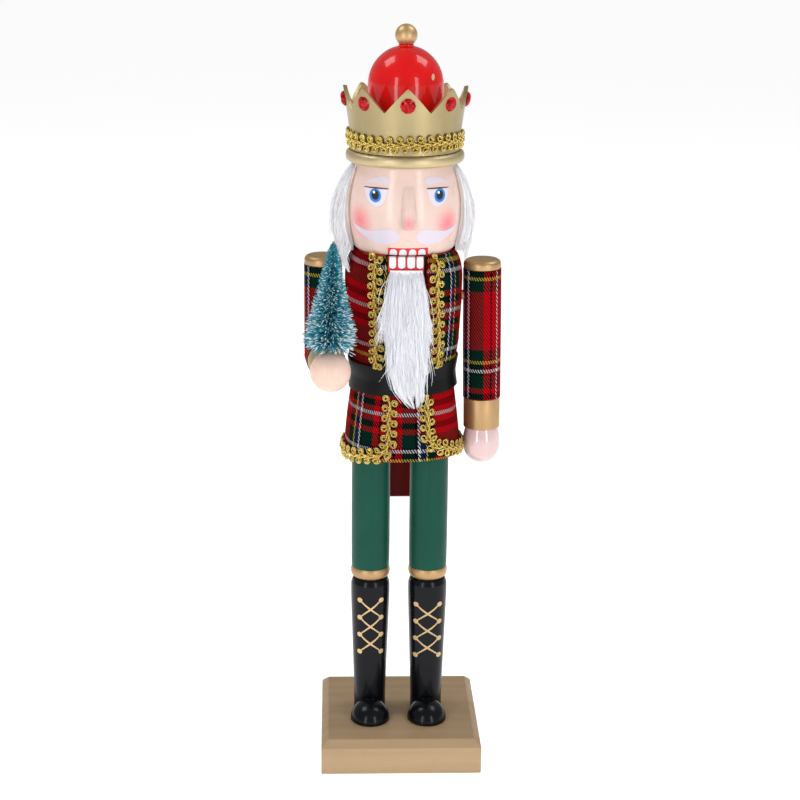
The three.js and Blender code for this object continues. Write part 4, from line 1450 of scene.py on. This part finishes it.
def add_bent_arm():
    """An upper arm that hangs straight, and a forearm from the elbow forward to a ball of a hand."""
    shoulder, top = middle("right_upper_arm_core"), box("right_upper_arm_core")[1].z
    low, high = box("right_hand")
    fist = 9.9
    elbow = Vector((shoulder.x, 0, 215.5))
    hand = Vector((-36.7, low.y + fist, 218.4))
    forward = (hand - elbow).normalized()
    up = Vector((0, 0, 1))
    mitre = (up - forward).normalized()

    upper = Matrix.Translation(elbow)
    rise = top - elbow.z
    core = [(0, 4), (CORE, 4), (CORE, rise - CAP), *[(r, h + rise) for r, h in CAP_EDGE]]
    settle(turned("right_upper_arm", rounded(core, 0.5), bronze_gold, upper, 72), "gold_paint",
           "right_upper_arm_core")
    add_sleeve("sleeve_right_upper", "right_upper_sleeve", upper, mitred(mitre),
               rise - CAP - 0.2, 47.5, 15 - (236 - elbow.z), 12)

    turn = up.rotation_difference(forward)
    fore = Matrix.Translation(elbow) @ turn.to_matrix().to_4x4()
    sleeve, cuff = 19.5, 37.0
    core = [(0, 4), (CORE, 4), (CORE, sleeve + GAP), (CUFF, sleeve + GAP), (CUFF, cuff), (0, cuff)]
    settle(turned("right_forearm", rounded(core, 0.5), bronze_gold, fore, 72), "gold_paint",
           "right_forearm_core")
    add_sleeve("sleeve_right_fore", "right_fore_sleeve", fore,
               mitred(turn.inverted() @ mitre), sleeve, 30, 20, 13)
    reach = (hand - elbow).length
    lowest = -math.asin((reach - cuff - 0.1) / ((high.z - low.z) / 2))
    curve = ball(fist, reach, cuff + 0.1, lowest, 40)
    settle(turned("hand_right", curve, hand_beige, fore, 96), "hand_satin", "right_hand")


# ---- tree


def add_tree():
    """A bottle-brush tree: bristles held in a twisted wire."""
    low, high = box("tree_trunk")
    foot = Vector((-37.2, middle("tree_trunk").y, 228))
    place = Matrix.Translation(foot) @ Matrix.Rotation(0.036, 4, "Y")
    tip = high.z - foot.z
    heights = np.linspace(-4.5, tip - 0.3, 220)
    wires = []
    for phase in (0, math.pi):
        turn = heights / 2.6 * 2 * math.pi + phase
        wires.append(np.column_stack([0.42 * np.cos(turn), 0.42 * np.sin(turn), heights]))
    settle(cords("tree_wire", wires, 0.38, tree_wire, 6, place), "tree_wire", "tree_trunk")
    add_bristles(place, 5.0, tip - 2.0)


def add_bristles(place, bottom, top):
    """Bristles in a tight spiral round the wire, longest near the foot of the tree."""
    count = 5400
    share = np.sort(random.random(count) ** 1.25)
    z = bottom + (top - bottom) * share
    turn = z / 0.55 * 2 * math.pi + random.normal(0, 0.5, count)
    spread = np.interp(share, [0, 0.06, 0.35, 0.7, 0.93, 1.0], [11.0, 13.0, 9.3, 5.2, 2.6, 1.4])
    reach = spread * random.uniform(0.78, 1.06, count)
    droop = random.normal(0.06, 0.16, count) - 0.25 * np.clip(0.1 - share, 0, 0.1) / 0.1
    root = np.column_stack([0.3 * np.cos(turn), 0.3 * np.sin(turn), z])
    end = np.column_stack([reach * np.cos(turn), reach * np.sin(turn), z + reach * droop])
    t = np.linspace(0, 1, 4)[None, :, None]
    paths = root[:, None, :] * (1 - t) + end[:, None, :] * t
    paths[:, :, 2] += np.sin(math.pi * t[..., 0]) * random.normal(0, 0.35, count)[:, None]
    points, faces, uv = strands(paths, np.array([0.14, 0.15, 0.16, 0.15]))
    settle(add_mesh("tree_needles", points, faces, tree_teal, place, uv=uv, sharp=180), "tree_bristle",
           "tree_bristles")


# ---- what stays as CAD made it


def finish_frame_pieces():
    """The covered CAD pieces keep their shape and get their own materials."""
    looks = {"torso_core": mouth_red, "jaw_pivot_pin": steel}
    for name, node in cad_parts.items():
        if name in looks or "dowel" in name:
            node.data.materials.clear()
            node.data.materials.append(looks.get(name, bare_wood))


# ---- floor, light and camera


def add_floor():
    shader = Shader("floor", 0.8, Emission_Color=(1, 1, 1, 1), Emission_Strength=0.6)
    shader.colour(shader.mix(shader.noise(3), linear("f6f6f6"), linear("fafafa")))
    reach = 12000
    corners = [(-reach, -reach, 0), (reach, -reach, 0), (reach, reach, 0), (-reach, reach, 0)]
    add_mesh("floor", corners, [(0, 1, 2, 3)], shader.material)


def add_light(name, place, aim, size, power):
    data = bpy.data.lights.new(name, "AREA")
    data.shape = "RECTANGLE"
    data.size, data.size_y = size
    data.energy = power
    light = linked(name, data)
    light.location = place
    light.rotation_euler = (Vector(aim) - Vector(place)).to_track_quat("-Z", "Y").to_euler()


def add_studio():
    """A tall softbox each side of the camera and one over each shoulder."""
    chest = (0, 0, 0.22)
    for side in (-1, 1):
        add_light("softbox_front", (side * 0.68, -1.12, 0.45), chest, (0.22, 0.95), 4.8)
        add_light("softbox_top", (side * 0.7, 0.15, 1.3), chest, (0.5, 0.5), 4.6)
    world = bpy.data.worlds.new("studio")
    world.use_nodes = True
    sky = world.node_tree.nodes["Background"].inputs
    sky["Color"].default_value = (1, 1, 1, 1)
    sky["Strength"].default_value = 0.38
    bpy.context.scene.world = world
    bpy.context.scene.view_settings.view_transform = "Standard"


def add_camera():
    """Looks a little down on the figure from just left of its front."""
    yaw, pitch, roll = math.radians(2.2), math.radians(16.55), math.radians(0.62)
    ahead = Vector((math.sin(yaw) * math.cos(pitch), math.cos(yaw) * math.cos(pitch), -math.sin(pitch)))
    level = Vector((math.cos(yaw), -math.sin(yaw), 0))
    upright = level.cross(ahead)
    right = level * math.cos(roll) + upright * math.sin(roll)
    up = upright * math.cos(roll) - level * math.sin(roll)
    data = bpy.data.cameras.new("camera")
    data.sensor_width = 36
    data.lens = 81.0
    data.clip_start, data.clip_end = 0.01, 20
    camera = linked("camera", data)
    axes = Matrix((right, up, -ahead)).transposed().to_4x4()
    camera.matrix_world = Matrix.Translation(Vector((-35.1, -883.4, 453.2)) * MM) @ axes
    bpy.context.scene.camera = camera


# ---- the scene

add_camera()
add_studio()
add_floor()
add_base()
add_leg("left")
add_leg("right")
add_chest()
add_skirt()
add_belt()
add_chest_braids()
add_skirt_braids()
add_head()
add_lever()
add_crown()
add_crown_braid()
add_gems()
add_dome()
add_straight_arm()
add_bent_arm()
add_tree()
add_hair()
add_beard()
finish_frame_pieces()
